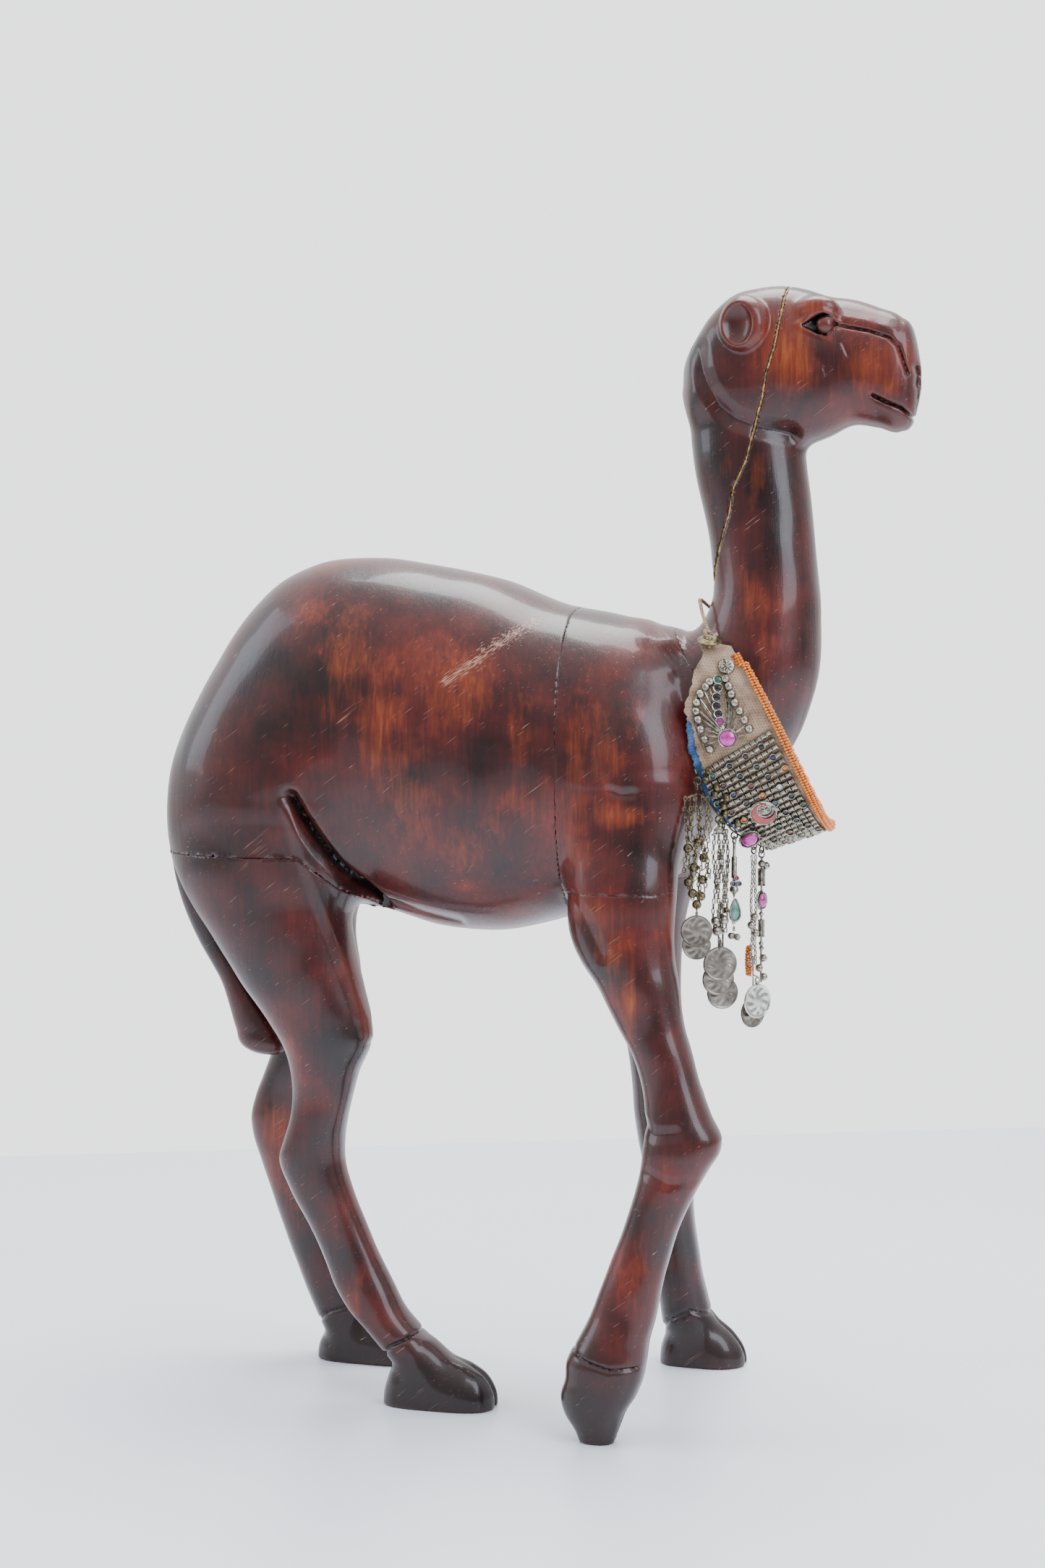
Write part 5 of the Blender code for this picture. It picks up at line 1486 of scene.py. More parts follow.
                stones.append(stone.stamped(seat))
                tints += [STONE_TINTS[(row * 7 + int(k) * 3 + row // 3) % len(STONE_TINTS)]
                          for k in np.flatnonzero(spot)]
        self.fix(gather(tubes), "woven_tube_beads", OLD_SILVER, "silver", "bead_mesh_panel")
        self.fix(gather(cups), "woven_cups", OLD_SILVER, "silver")
        self.tinted(gather(stones), "woven_stones", tints, len(stone.verts))

    def tinted(self, shape: Shape, name: str, tints: list[str], size: int, body: str = "camel") -> None:
        """Glass stones, each with its own colour.

        Args:
            shape: all the stones.
            name: the piece's name.
            tints: one hex colour for each stone.
            size: points in one stone.
            body: what it rides on.
        """
        obj = self.fix(shape, name, MIXED_GLASS, "glass_green", body=body)
        colours = np.repeat(np.array([linear(t) for t in tints]), size, 0)
        layer = obj.data.attributes.new("tint", "FLOAT_COLOR", "POINT")
        layer.data.foreach_set("color", colours.astype(np.float32).ravel())

    # ---- fans, stones and plates
    def fan(self, side: int, label: str) -> None:
        """Fan at one end of the panel: balls on two arcs, wired to the round stone between them.

        Args:
            side: 1 on the near side, -1 on the far side.
            label: near or far.
        """
        band = self.band
        body_arc = through(np.linspace(0, 1, 9), np.array([
            (0, 106.5, 0.70), (0.25, 102, 0.82), (0.5, 96, 0.875), (0.75, 88, 0.86), (1, 79, 0.80)]))
        head_arc = through(np.linspace(0, 1, 7), np.array([(0, 108, 0.40), (0.5, 98, 0.32), (1, 86, 0.27)]))
        balls = np.vstack([body_arc, head_arc])
        ball = Shape.ball(3.35, 14, 9)
        shapes = [ball.stamped(band.frames(side * balls[:, 0], balls[:, 1], 5.4))]
        hub = band.at(side * self.gem[0], self.gem[1], 4.6)[0]
        for phi, v in balls:
            for shift in (-0.7, 0.7):
                tip = band.at(side * (phi + shift * 3), v, 4.8)[0]
                t = np.linspace(0.12, 0.98, 6)[:, None]
                shapes.append(Shape.swept(hub + (tip - hub) * t + (0, 0, 0.5 * shift), 0.42, 5))
        shapes.append(Shape.swept(band.at(side * body_arc[:, 0], body_arc[:, 1] + 0.055, 3.6), 0.8))
        self.fix(gather(shapes), "fan_" + label, OLD_SILVER, "silver", "spoke_fan_" + label)
        cup = Shape.turned([(0, 0.6), (2.7, 0.6), (2.8, 2.4), (3.3, 2.6), (3.65, 2.2), (3.5, 0), (0, 0)], 18)
        phis = np.linspace(107.5, 90.5, 6)
        row = band.frames(side * phis, 0.55 + (107.5 - phis) / 340, 4.9)
        self.fix(cup.stamped(row), "ring_chain_" + label, OLD_SILVER, "silver", "bezel_row_" + label)
        stone = Shape.turned([(0, 1.9), (1.6, 1.7), (2.75, 1.2), (2.7, 0.5), (0, 0.5)], 14)
        self.tinted(stone.stamped(row), "ring_chain_stones_" + label,
                    ["#2c5a48", "#141014", "#141014", "#141014", "#141014", "#8a2a78"], len(stone.verts))

    def cabochon(self, label: str, frame: Array, radius: float, squash: float, nodes: tuple[str, str],
                 finish: Finish, slot: str, body: str = "camel") -> None:
        """Domed stone in a cup with a rolled lip and a collar of grains.

        Args:
            label: ends the pieces' names.
            frame: where it sits, z outwards.
            radius: the cup's radius across its longer way.
            squash: width over height.
            nodes: the cup's node and the stone's node.
            finish: the stone's material.
            slot: the stone's slot.
            body: what it rides on.
        """
        r = radius
        cup = Shape.turned([(0, 0.9), (r - 1.2, 0.9), (r - 0.9, 3.0), (r - 0.3, 3.3), (r, 2.8),
                            (r - 0.2, 1.4), (r + 0.3, 0.9), (r + 0.2, 0), (0, 0)], 28)
        grain = Shape.ball(0.55, 6, 4)
        collar = r + 0.35
        grains = grain.stamped([frame_of(*np.eye(3), (collar * math.cos(a), collar * math.sin(a), 0.7))
                                for a in turn_round(22)])
        self.fix((cup + grains).scaled(squash, 1, 1).stamped(frame), "cup_" + label, OLD_SILVER,
                 "dark_metal" if nodes[0] else "silver", *filter(None, nodes[:1]), body=body)
        dome = [(0, 4.9), (r * 0.35, 4.7), (r * 0.62, 4.0), (r * 0.8, 2.9), (r - 1.25, 1.6), (r - 1.4, 1.0),
                (0, 1.0)]
        self.fix(Shape.turned(dome, 24).scaled(squash, 1, 1).stamped(frame), "stone_" + label, finish, slot,
                 nodes[1], body=body)

    def plates(self) -> None:
        """Rosettes, round and oval stones, crescent, bells and the button at the nape."""
        band = self.band
        for side, label in ((1, "near"), (-1, "far")):
            seat = band.frames(side * self.gem[0], self.gem[1], self.gem[2] - 0.4)
            self.cabochon(label, seat, 7.0, 1.0, ("gem_bezel_" + label, "gem_" + label), MAGENTA_GLASS,
                          "glass_magenta")
            self.fix(self.rosette().stamped(band.frames(side * 114.5, 0.35, 3.6)), "petal_disc_" + label,
                     OLD_SILVER, "silver", "rosette_" + label, smooth=60)
        seat = band.frames(30, 0.94, 7.2)
        self.cabochon("oval", seat, 8.0, 0.84, ("oval_bezel", "oval_gem"), MAGENTA_GLASS, "glass_magenta")
        self.crescent(band.frames(44, 0.55, 6.0))
        bells = [(70, 0.9), (66, 0.97), (62, 0.88), (59, 0.93), (56, 0.82), (52, 0.9), (48, 0.95), (42, 0.9)]
        bell = Shape.turned([(0, 3.0), (0.9, 2.9), (2.0, 2.2), (2.7, 1.0), (2.85, 0.2), (2.6, 0),
                             (2.85, -0.2), (2.6, -1.2), (1.8, -2.2), (0, -2.8)], 14)
        self.fix(bell.stamped(band.frames(*np.array(bells).T, 7.6)), "small_bells", DARK_BRASS, "dark_metal",
                 "edge_bells")
        out = unit(np.array([0.10, -0.40, 0.91]))
        x = unit(np.cross((0, 0, 1), out))
        seat = frame_of(x, np.cross(out, x), out, band.at(124, 0.62, 8.5)[0])
        button = Shape.turned([(0, 4.8), (1.2, 4.9), (1.8, 4.3), (4.2, 4.1), (5.0, 4.6), (6.4, 4.3),
                               (7.6, 3.4), (8.8, 3.1), (9.1, 2.7), (8.6, 1.9), (1.7, 1.6), (1.5, -3.0),
                               (0, -3.0)], 32)
        self.fix(button.stamped(seat), "domed_button", DARK_BRASS, "silver", "nape_button")

    @staticmethod
    def rosette() -> Shape:
        """Disc of eight petals: height 1.4 + 1.1 |cos 4t| sin(pi r) over radius 6.2 (0.93 + 0.07 |cos 4t|)
        at its rim, with a boss in the middle.
        """
        r, t = np.meshgrid(np.linspace(0.06, 1, 12), turn_round(48), indexing="ij")
        lobe = np.abs(np.cos(4 * t))
        radius = 6.2 * r * (0.93 + 0.07 * lobe * r)
        height = 1.4 + 1.1 * lobe * np.sin(np.pi * np.clip(r, 0, 0.95)) + 1.5 * np.exp(-(r / 0.22) ** 2)
        height[-1] = 0.6
        top = np.stack([radius * np.cos(t), radius * np.sin(t), height], 2).reshape(-1, 3)
        n, m = r.shape
        under = np.column_stack([6.0 * np.cos(t[0]), 6.0 * np.sin(t[0]), np.zeros(m)])
        verts = np.vstack([top, under, (0, 0, height[0, 0]), (0, 0, 0)])
        return Shape(verts, np.vstack([rounds(n + 1, m), lid(0, m, len(verts) - 2),
                                       lid(n * m, m, len(verts) - 1, -1)]))

    def crescent(self, seat: Array) -> None:
        """Round plate with a wire-edged sickle and four petal cells in its mouth.

        Args:
            seat: frame of the plate.
        """
        plate = Shape.turned([(0, 1.0), (9.6, 1.0), (10.1, 0.7), (10.0, 0), (0, 0)], 40)
        mouth = math.radians(-50)
        outer = mouth + np.radians(np.linspace(34, 326, 40))
        inner = mouth + np.radians(np.linspace(311, 49, 30))
        shift = np.array([math.cos(mouth), math.sin(mouth)]) * 3.0
        line = np.vstack([np.column_stack([np.cos(outer), np.sin(outer)]) * 9.3,
                          np.column_stack([np.cos(inner), np.sin(inner)]) * 5.6 + shift])
        wires = [Shape.swept(np.column_stack([line, np.full(len(line), 2.0)]), 0.6, 6, True)]
        t = turn_round(14)
        for turn, reach in ((-65, 1.6), (-5, 2.2), (55, 1.6), (115, 0.6)):
            a = mouth + math.radians(turn)
            leaf = np.column_stack([1.9 * (1 - np.cos(t)), 1.35 * np.sin(t) * np.sin(t / 2),
                                    np.full(len(t), 1.8)])
            cos, sin = math.cos(a), math.sin(a)
            leaf = leaf @ np.array([[cos, sin, 0], [-sin, cos, 0], [0, 0, 1]])
            wires.append(Shape.swept(leaf + (*(shift * reach / 2), 0), 0.45, 5, True))
        self.fix(gather([plate] + wires).stamped(seat), "sickle_plate", OLD_SILVER, "silver", "crescent_cup")
        dress(self.frame["nodes"]["crescent_enamel"], RED_ENAMEL)

    def tie(self) -> None:
        """Two-ply cotton cord round the nape, and the loop that goes over the button.

        Each ply is a circle of 0.8 mm about a helix of 0.65 mm radius round the route.
        """
        band = self.band
        phi = np.concatenate([np.linspace(127, 180, 60), np.linspace(-180, -127, 60)[1:]])
        route = band.at(phi, 0.5 + 0.05 * np.sin(phi / 7), 2.3)
        t = np.linspace(0, 1, 40)[:, None]
        start, end = band.at(131, 0.35, 3.0)[0], band.at(124, 0.62, 7.2)[0]
        loops = [start + (end - start) * t + np.array(bow) * np.sin(np.pi * t)
                 for bow in ((-6.0, -1.5, 8.0), (2.0, -2.0, 5.0))]
        shapes = []
        for line in (route, *loops):
            run = run_along(line)
            fine = np.linspace(0, run[-1], max(20, int(run[-1] / 0.9)))
            path = np.column_stack([np.interp(fine, run, line[:, c]) for c in range(3)])
            way = unit(np.gradient(path, axis=0))
            across = unit(np.cross(way, (0.3, 0.2, 1.0)))
            up = np.cross(across, way)
            for ply in (0.0, np.pi):
                twist = (fine / 5.5 * 2 * np.pi + ply)[:, None]
                helix = 0.65 * (np.cos(twist) * across + np.sin(twist) * up)
                shapes.append(Shape.swept(path + helix, 0.8))
        self.fix(gather(shapes), "cotton_tie", TIE_CORD, "cloth_tan", "tie_cord", smooth=80)

    def build(self) -> None:
        """Sew everything on, then hang the strands and coins."""
        self.cloths()
        self.edging()
        self.woven_panel()
        for side, label in ((1, "near"), (-1, "far")):
            self.fan(side, label)
        self.plates()
        self.tie()
        Pendants(self, self.frame).build()


BALL, SMALL_BALL = Shape.ball(3.5, 12, 8), Shape.ball(3.0, 12, 8)
TEAR_Z = 380.0  # height of the teardrop's middle above the floor


@dataclass
class Pendants:
    """Chains, beads, stones and coins that hang from the choker's lower edge.

    Attributes:
        choker: what they hang from.
        frame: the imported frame, for the places of the hinges.
        link: length, width and wire radius of a chain link.
    """

    choker: Choker
    frame: dict
    link: tuple[float, float, float] = (4.4, 3.0, 0.5)

    def hinge(self, name: str) -> tuple[Array, Array, Array]:
        """Place of a strand's or coin's hinge, its outward direction and its direction across."""
        joint = next(j for j in self.frame["joints"] if j["child"] == name)
        axis = np.array(joint["axis"], float)
        out = np.array([-axis[1], axis[0], 0.0])
        return np.array(joint["pos_m"]) / MM - BENCH, out, np.array([-out[1], out[0], 0.0])

    def hang(self, name: str, points: Array) -> Array:
        """Points given as (across, outwards, height above the floor), beside a strand's line."""
        pivot, out, across = self.hinge(name)
        points = np.atleast_2d(points).astype(float)
        return (pivot * (1, 1, 0) + points[:, :1] * across + points[:, 1:2] * out
                + points[:, 2:] * (0, 0, 1))

    def upright(self, name: str, points: Array) -> Array:
        """Upright frames (x across, y outwards, z up) at such points."""
        _, out, across = self.hinge(name)
        turn = np.column_stack([across, -out, (0, 0, 1)])
        return np.stack([frame_of(*turn.T, p) for p in self.hang(name, points)])

    def facing(self, name: str, points: Array) -> Array:
        """Frames whose z looks outwards and y up, at such points."""
        _, out, across = self.hinge(name)
        return np.stack([frame_of(across, (0, 0, 1), out, p) for p in self.hang(name, points)])

    def put(self, shape: Shape, name: str, points: Array) -> Shape:
        """Copies of a shape that stand upright at such points."""
        return shape.stamped(self.upright(name, points))

    def wire(self, name: str, points: Array, radius: float, sides: int = 6) -> Shape:
        """Wire bent through such points."""
        return Shape.swept(self.hang(name, points), radius, sides)

    def strand(self, name: str, piece: str, finish: Finish, shapes: list[Shape]) -> None:
        """Join a strand's shapes and its ring into the piece that stands for its node."""
        self.choker.fix(gather(shapes + [self.rings(name)]), piece, finish, "silver", name, body=name)

    def chain(self, name: str, across: float, out: float, top: float, bottom: float,
              sway: float = 0.0) -> Shape:
        """Cable chain: stadium-shaped links, every other one turned a quarter.

        Args:
            name: the strand.
            across: sideways place of the chain.
            out: how far out it hangs.
            top: height of its top.
            bottom: height of its bottom.
            sway: how far it wanders sideways.

        Returns:
            All its links.
        """
        long, wide, wire = self.link
        t = turn_round(12)
        stadium = np.column_stack([(wide / 2 - wire) * np.cos(t), 0 * t,
                                   (long / 2 - wire) * np.sign(np.sin(t)) * np.abs(np.sin(t)) ** 0.7])
        one = Shape.swept(stadium, wire, 5, True)
        count = max(2, int((top - bottom) / (long - 2.2 * wire)))
        z = np.linspace(top, bottom, count)
        side = across + sway * np.sin((z - bottom) / 7 + across)
        frames = self.upright(name, np.column_stack([side, np.full(count, out), z]))
        odd = frames[1::2].copy()
        frames[1::2, :, 0], frames[1::2, :, 1] = odd[:, :, 1], -odd[:, :, 0]
        return one.stamped(frames)

    def rings(self, name: str) -> Shape:
        """The jump ring that a strand or coin swings on."""
        pivot, out, across = self.hinge(name)
        ring = Shape.ring(2.5, 0.65, 18, 6)
        return ring.stamped(frame_of((0, 0, 1), out, across, pivot - (0, 0, 0.85)))

    def edge_wire(self) -> None:
        """Wire along the lower edge, and the hook that each strand swings from."""
        band = self.choker.band
        shapes = [Shape.swept(band.at(np.linspace(71, 5, 40), 1.05, 3.0), 0.8)]
        rim = band.at(np.linspace(72, 5, 80), 1.05, 3.0)
        ring = Shape.ring(2.6, 0.65, 18, 6)
        for name in ("strand_lace", "strand_chains", "strand_inner", "strand_drop", "strand_long",
                     "strand_tubes"):
            pivot, out, across = self.hinge(name)
            hook = pivot + (0, 0, 2.6)
            shapes.append(ring.stamped(frame_of(across, (0, 0, 1), out, hook)))
            top = hook + (0, 0, 2.6)
            near = rim[np.argmin(np.linalg.norm(rim - top, axis=1))]
            if np.linalg.norm(near - top) > 1.5:
                shapes.append(Shape.swept(near + (top - near) * np.linspace(0, 1, 4)[:, None], 0.8))
        self.choker.fix(gather(shapes), "hanging_wire", DARK_BRASS, "dark_metal", "edge_wire")

    def strands(self) -> None:
        """The six strands, top to bottom."""
        self.lace()
        self.ropes()
        self.inner()
        self.drop()
        self.long()
        self.tubes()

    def lace(self) -> None:
        """Wide strand: seven chains of uneven length, laced across by wires, with balls among them."""
        name = "strand_lace"
        shapes = [self.chain(name, a, 3.0 + 0.1 * a, 464, low, 1.3)
                  for a, low in ((-8, 412), (-6, 400), (-3, 392), (0, 388), (3, 392), (6, 398), (8.5, 408))]
        shapes.append(self.wire(name, [(-6.5, 2.5, 465), (0, 0, 467.5), (6.5, 3.5, 465)], 0.7))
        for z in (456, 446, 436, 426, 416, 406):
            zigzag = [(-8, 2.2, z), (-4, 2.6, z - 4), (0, 3.0, z), (4, 3.4, z - 4), (8, 3.8, z)]
            shapes.append(self.wire(name, zigzag, 0.5, 5))
        shapes.append(self.wire(name, [(0, 0, 390), (0, 0, 384.5)], 0.7))
        self.strand(name, "lace_chains", DARK_BRASS, shapes)
        spots = [(-6.5, 2, 428), (1, 1, 432), (5, 1, 421), (-2, 1, 414), (-6, 1, 403), (4, 1, 405),
                 (-3, 1, 395), (3, 0.5, 393), (0, 1, 387)]
        self.choker.fix(self.put(BALL, name, spots), "lace_balls", DARK_BRASS, "dark_metal", body=name)

    def ropes(self) -> None:
        """Five chains under a four-sided clasp, ending in balls and a long hook for the coins."""
        name = "strand_chains"
        shapes = [self.chain(name, a, o, 438, 366, 0.9)
                  for a, o in ((-3.4, 0.4), (-1.2, 1.6), (0.8, -1.0), (3.2, 1.2), (5.8, 0.2))]
        clasp = [(0, 2.2), (2.6, 1.2), (4.2, 0.4), (4.2, -0.4), (2.6, -1.2), (0, -2.2)]
        shapes += [Shape.turned(clasp, 4).stamped(self.facing(name, [(0, 0, 440.0)])),
                   self.wire(name, [(-5.5, 0, 436), (0, 0, 438), (5.5, 0, 436)], 0.9),
                   self.wire(name, [(0, 0, 368), (0, 0, 361.5), (0, 2, 360.5), (0, 5, 360.5)], 0.75),
                   self.put(BALL, name, [(-2.6, 1, 373), (3.4, 1.5, 374), (0, -0.5, 366), (-2.4, 3.5, 366)]),
                   self.wire(name, [(0, 0, 366), (0, 0, 347.8)], 0.6)]
        self.strand(name, "four_chains", OLD_SILVER, shapes)

    def inner(self) -> None:
        """Three short chains behind the others, and the wire down to their coin."""
        name = "strand_inner"
        shapes = [self.chain(name, a, 0, 438, 384, 0.7) for a in (-3.0, 0.2, 3.2)]
        shapes += [self.wire(name, [(0, 0, 392), (0, 0, 337)], 0.6),
                   self.put(Shape.ball(2.4), name, [(-2, 1, 384), (2, 0, 380), (0, 0, 372)])]
        self.strand(name, "inner_chains", DARK_BRASS, shapes)

    def drop(self) -> None:
        """Strand with a tube, a trefoil of small cups and a green teardrop."""
        name = "strand_drop"
        stem = [(0, 430), (1.0, 429), (1.2, 420), (2.0, 419), (2.1, 404), (1.2, 403), (1.3, 399),
                (3.2, 396.5), (3.3, 394), (1.2, 392), (0, 388)]
        cup = Shape.turned([(0, 0.5), (1.5, 0.5), (1.7, 1.5), (2.2, 1.6), (2.3, 0), (0, 0)], 12)
        trefoil = self.facing(name, [(0, 2.6, 404), (-2.3, 2.6, 399.8), (2.3, 2.6, 399.8)])
        t = turn_round(28)
        pear = np.sin(t) * (0.72 - 0.28 * np.cos(t))
        tear = np.column_stack([5.6 * pear, 2.0 + 0 * t, TEAR_Z + 8.2 * np.cos(t)])
        self.strand(name, "drop_frame", OLD_SILVER, [
            self.put(Shape.turned(stem, 14), name, [(0, 0, 0)]), cup.stamped(trefoil),
            Shape.swept(self.hang(name, tear), 0.75, 6, True), self.chain(name, 0, 0, 371.5, 361),
            self.put(Shape.ball(2.6, 12, 8), name, [(-2.2, 0, 361), (2.4, 0.5, 360)])])
        stone = Shape.turned([(0, 1.2), (0.9, 1.0), (1.4, 0.6), (0, 0.3)], 10)
        self.choker.tinted(stone.stamped(trefoil), "trefoil_stones", ["#8a2440", "#1c2c58", "#2a3a66"],
                           len(stone.verts), name)
        u = np.linspace(0.05, 1, 8)[:, None]
        front = np.stack([5.2 * pear * u, 1.4 + 1.6 * (1 - u ** 2) + 0 * t, TEAR_Z + 7.8 * np.cos(t) * u],
                         2).reshape(-1, 3)
        back = front * (1, 0, 1) + (0, 0.6, 0)
        size, m = len(front), len(t)
        domed = rounds(len(u), m)[:, [0, 3, 2, 1]]
        last = size - m + np.arange(m)
        ahead = np.roll(last, -1)
        faces = np.vstack([domed, domed[:, ::-1] + size,
                           np.column_stack([last, ahead, size + ahead, size + last]),
                           lid(0, m, 2 * size, -1), lid(size, m, 2 * size + 1)])
        verts = np.vstack([front, back, front[:m].mean(0), back[:m].mean(0)])
        self.choker.fix(Shape(self.hang(name, verts), faces), "green_teardrop", GREEN_GLASS, "glass_green",
                        "drop_gem", body=name)

    def long(self) -> None:
        """Strand of two chains with a bead tassel behind: beads on a spiral that swells at its middle."""
        name = "strand_long"
        shapes = [self.chain(name, a, 0, 418, 340, 0.6) for a in (-1.7, 1.7)]
        shapes += [self.wire(name, [(0, 0, 345), (0, 0, 331), (0, 5, 330)], 0.7),
                   self.wire(name, [(0, 0, 340), (0, 0, 320.3)], 0.6),
                   self.put(SMALL_BALL, name, [(0, 1, 374), (-2.5, 0.5, 368), (2, 0, 362)])]
        self.strand(name, "long_chains", OLD_SILVER, shapes)
        bead = Shape.turned([(0, 0.8), (0.7, 0.75), (1.1, 0.3), (1.1, -0.3), (0.7, -0.75), (0, -0.8)], 6)
        beads, top, drop, turn = 72, 352, 0.31, 2.4
        k = np.arange(beads)
        spread = 1.2 + 0.9 * np.sin(k / beads * np.pi)
        spots = np.column_stack([spread * np.cos(k * turn), -5 + spread * np.sin(k * turn), top - k * drop])
        self.choker.fix(self.put(bead, name, spots), "orange_tassel", ORANGE_BEAD, "beads_orange",
                        "bead_tassel", body=name, smooth=80)

    def tubes(self) -> None:
        """Strand of bundled tubes, a side-on magenta stone and a cluster of balls."""
        name = "strand_tubes"
        pipe = Shape.turned([(0, 6.5), (0.8, 6.5), (1.15, 6.2), (1.15, 5.6), (0.9, 5.4), (0.9, -5.4),
                             (1.15, -5.6), (1.15, -6.2), (0.8, -6.5), (0, -6.5)], 8)
        ring = [(2.0 * math.cos(a), 2.0 * math.sin(a)) for a in turn_round(5)]
        self.strand(name, "tube_bundle", OLD_SILVER, [
            self.put(pipe, name, [(x, y, 402.5) for x, y in ring]),
            self.wire(name, [(0, 0, 418), (0, 0, 392)], 0.8),
            self.put(Shape.ball(2.8, 12, 8), name, [(0, 0, 412.5), (3.2, 2.0, 411)])])
        self.choker.cabochon("side", self.facing(name, [(0, -1.2, 385.3)])[0], 6.6, 0.8, ("", "tubes_gem"),
                             MAGENTA_GLASS, "glass_magenta", name)
        tail = [self.put(pipe, name, [(x * 0.8, y * 0.8, 364.5) for x, y in ring]),
                self.wire(name, [(0, 0, 379), (0, 0, 324)], 0.8),
                self.put(Shape.ball(1.9, 8, 5), name, [(0, 0, 375), (0, 0, 353), (0.5, 0, 349.5)]),
                self.put(SMALL_BALL, name, [(2.2, 0.5, 342), (-2.4, 0, 335), (2.0, 1, 328)])]
        self.choker.fix(gather(tail), "tube_tail", OLD_SILVER, "silver", "tubes_tail", body=name)

    def coin(self, name: str, radius: float, finish: Finish) -> None:
        """Coin with a raised rim and worn relief: 0.3 mm of eight leaves round a boss, on both faces.

        Args:
            name: the coin's body and node.
            radius: its radius.
            finish: its material.
        """
        pivot, out, across = self.hinge(name)
        centre = pivot - (0, 0, radius + 3.15)
        r, t = np.meshgrid(np.linspace(0.04, 1, 22), turn_round(72), indexing="ij")
        leaf = np.cos(8 * t + 5 * r) * np.exp(-((r - 0.6) / 0.16) ** 2)
        rim = ease((r - 0.88) / 0.03) * (1 - ease((r - 0.985) / 0.015))
        height = 0.5 + 0.3 * leaf + 0.35 * np.exp(-(r / 0.28) ** 2) + 0.4 * rim - 0.25 * (r > 0.99)
        face = np.stack([radius * r * np.cos(t), radius * r * np.sin(t), height], 2).reshape(-1, 3)
        n, m = r.shape
        front, size = rounds(n, m), len(face)
        last = size - m + np.arange(m)
        ahead = np.roll(last, -1)
        verts = np.vstack([face, face * (1, 1, -1), (0, 0, height[0, 0]), (0, 0, -height[0, 0])])
        faces = np.vstack([front, front[:, ::-1] + size,
                           np.column_stack([last, size + last, size + ahead, ahead]),
                           lid(0, m, 2 * size), lid(size, m, 2 * size + 1, -1)])
        shape = Shape(verts, faces).stamped(frame_of(across, (0, 0, 1), out, centre))
        strap = np.array([(0, 1.0, -2.4), (0, 1.3, 0), (0, 0.9, 1.4), (0, 0, 2.0), (0, -0.9, 1.4),
                          (0, -1.3, 0), (0, -1.0, -2.4)])
        lug = Shape.swept(strap, 0.55, 6).scaled(2.2, 1, 1)
        shape = shape + lug.stamped(frame_of(across, -out, (0, 0, 1), centre + (0, 0, radius)))
        self.choker.fix(shape + self.rings(name), "hung_" + name, finish, "silver", name, body=name)

    def build(self) -> None:
        """Hang everything."""
        self.edge_wire()
        self.strands()
        for name, radius, finish in (("coin_lace_front", 11.5, NICKEL), ("coin_lace_end", 10.5, NICKEL),
                                     ("coin_chains_front", 12.7, NICKEL), ("coin_chains_end", 12.0, NICKEL),
                                     ("coin_inner_end", 12.0, NICKEL), ("coin_long_front", 12.7, BRIGHT_COIN),
                                     ("coin_long_end", 11.5, NICKEL)):
            self.coin(name, radius, finish)


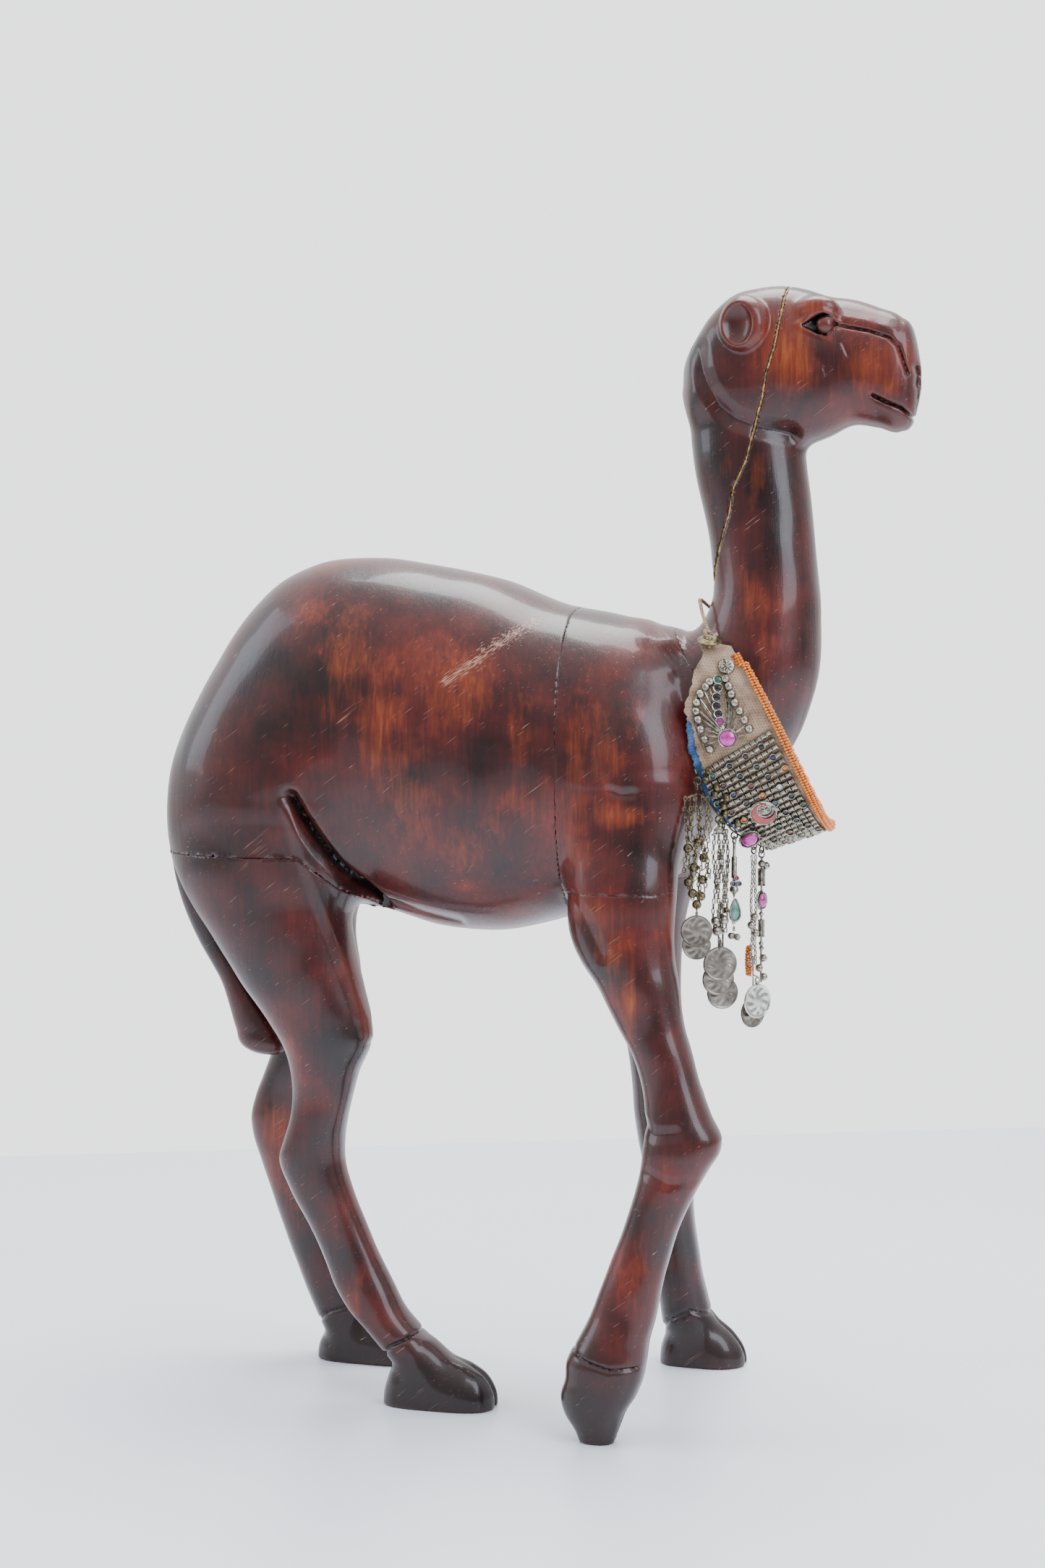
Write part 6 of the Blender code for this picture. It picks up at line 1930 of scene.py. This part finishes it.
# ---------------------------------------------------------------- stage
@dataclass
class Stage:
    """Pale table, daylight and camera.

    Attributes:
        eye: the camera's place on the bench, mm.
        turn: how far round from square-on the camera stands, degrees.
        dip: how far it looks down, degrees.
        lens: focal length on a 36 mm long side, mm.
    """

    eye: tuple[float, float, float] = (483.84, -1940.59, 600.0)
    turn: float = 14.0
    dip: float = 3.78
    lens: float = 60.38

    def camera(self) -> None:
        """Camera at standing height, its long side upright."""
        data = bpy.data.cameras.new("camera")
        data.lens, data.sensor_width, data.clip_start = self.lens, 36.0, 0.05
        obj = linked("camera", data)
        obj.location = (np.array(self.eye) + BENCH) * MM
        obj.rotation_euler = (math.radians(90 - self.dip), 0, math.radians(self.turn))
        bpy.context.scene.camera = obj

    def table(self) -> None:
        """White lacquered table top, which ends about a metre behind the statue."""
        turn, rear, half, deep = math.radians(self.turn + 8), 0.94, 4, 6
        along, away = np.array([math.cos(turn), math.sin(turn)]), np.array([-math.sin(turn), math.cos(turn)])
        middle = away * rear
        corners = [middle - half * along, middle - half * along - deep * away,
                   middle + half * along - deep * away, middle + half * along]
        mesh = bpy.data.meshes.new("table_top")
        mesh.from_pydata([(*c, 0.0) for c in corners], [], [(0, 1, 2, 3)])
        mesh.materials.append(WHITE_LACQUER.material())
        linked("table_top", mesh)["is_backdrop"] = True

    def light(self) -> None:
        """Soft daylight: a pale room all round and two tall windows."""
        world = bpy.context.scene.world or bpy.data.worlds.new("room")
        bpy.context.scene.world = world
        world.use_nodes = True
        tree = world.node_tree
        back = tree.nodes["Background"]
        back.inputs["Color"].default_value = linear("#e6e7ea")
        # the wall behind is evenly lit; what the statue reflects is bright above and behind it, dim in front
        way = add(tree, "TexCoord").outputs["Generated"]
        side = add(tree, "VectorMath", {0: way, 1: (-0.25, 0.45, 0.85)},
                   operation="DOT_PRODUCT").outputs["Value"]
        room = add(tree, "MapRange", {"Value": side, "From Min": -0.6, "From Max": 1.0, "To Min": 0.25,
                                      "To Max": 2.5}).outputs["Result"]
        seen = add(tree, "LightPath").outputs["Is Camera Ray"]
        wall = 2.9
        both = add(tree, "Mix", {"Factor": seen, 2: room, 3: wall})
        tree.links.new(both.outputs[0], back.inputs["Strength"])
        for name, place, aim, size, watts, tint in (
                ("window_front", (1.9, -1.2, 1.7), (0.05, 0, 0.5), (1.3, 1.8), 50, "#eaf1ff"),
                ("window_left", (-2.2, -0.5, 1.5), (-0.1, 0, 0.45), (1.2, 1.8), 26, "#e6efff"),
                ("skylight", (0.2, 0.5, 2.6), (0, 0, 0.4), (1.6, 1.2), 75, "#ffffff")):
            lamp = bpy.data.lights.new(name, "AREA")
            lamp.shape, lamp.size, lamp.size_y, lamp.energy = "RECTANGLE", *size, watts
            lamp.color = linear(tint)[:3]
            obj = linked(name, lamp)
            obj.location = place
            obj.rotation_euler = (Vector(aim) - Vector(place)).to_track_quat("-Z", "Y").to_euler()

    def build(self) -> None:
        """Set the whole stage."""
        self.camera()
        self.table()
        self.light()


def main() -> None:
    """Build the camel and its choker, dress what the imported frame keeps, and set the stage."""
    logging.basicConfig(level=logging.INFO, format="%(name)s: %(message)s")
    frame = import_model()
    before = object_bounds()
    Stage().build()
    blocks = WoodenCamel(coarse=1.0).build()
    for name, node in frame["nodes"].items():
        if name.endswith("_dowel"):
            dress(node, RAW_WOOD)
    Choker.on(blocks, frame).build()
    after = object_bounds()
    [[list(map(float, corner)) for corner in box] for box in (before, after)]


if __name__ == "__main__":
    main()
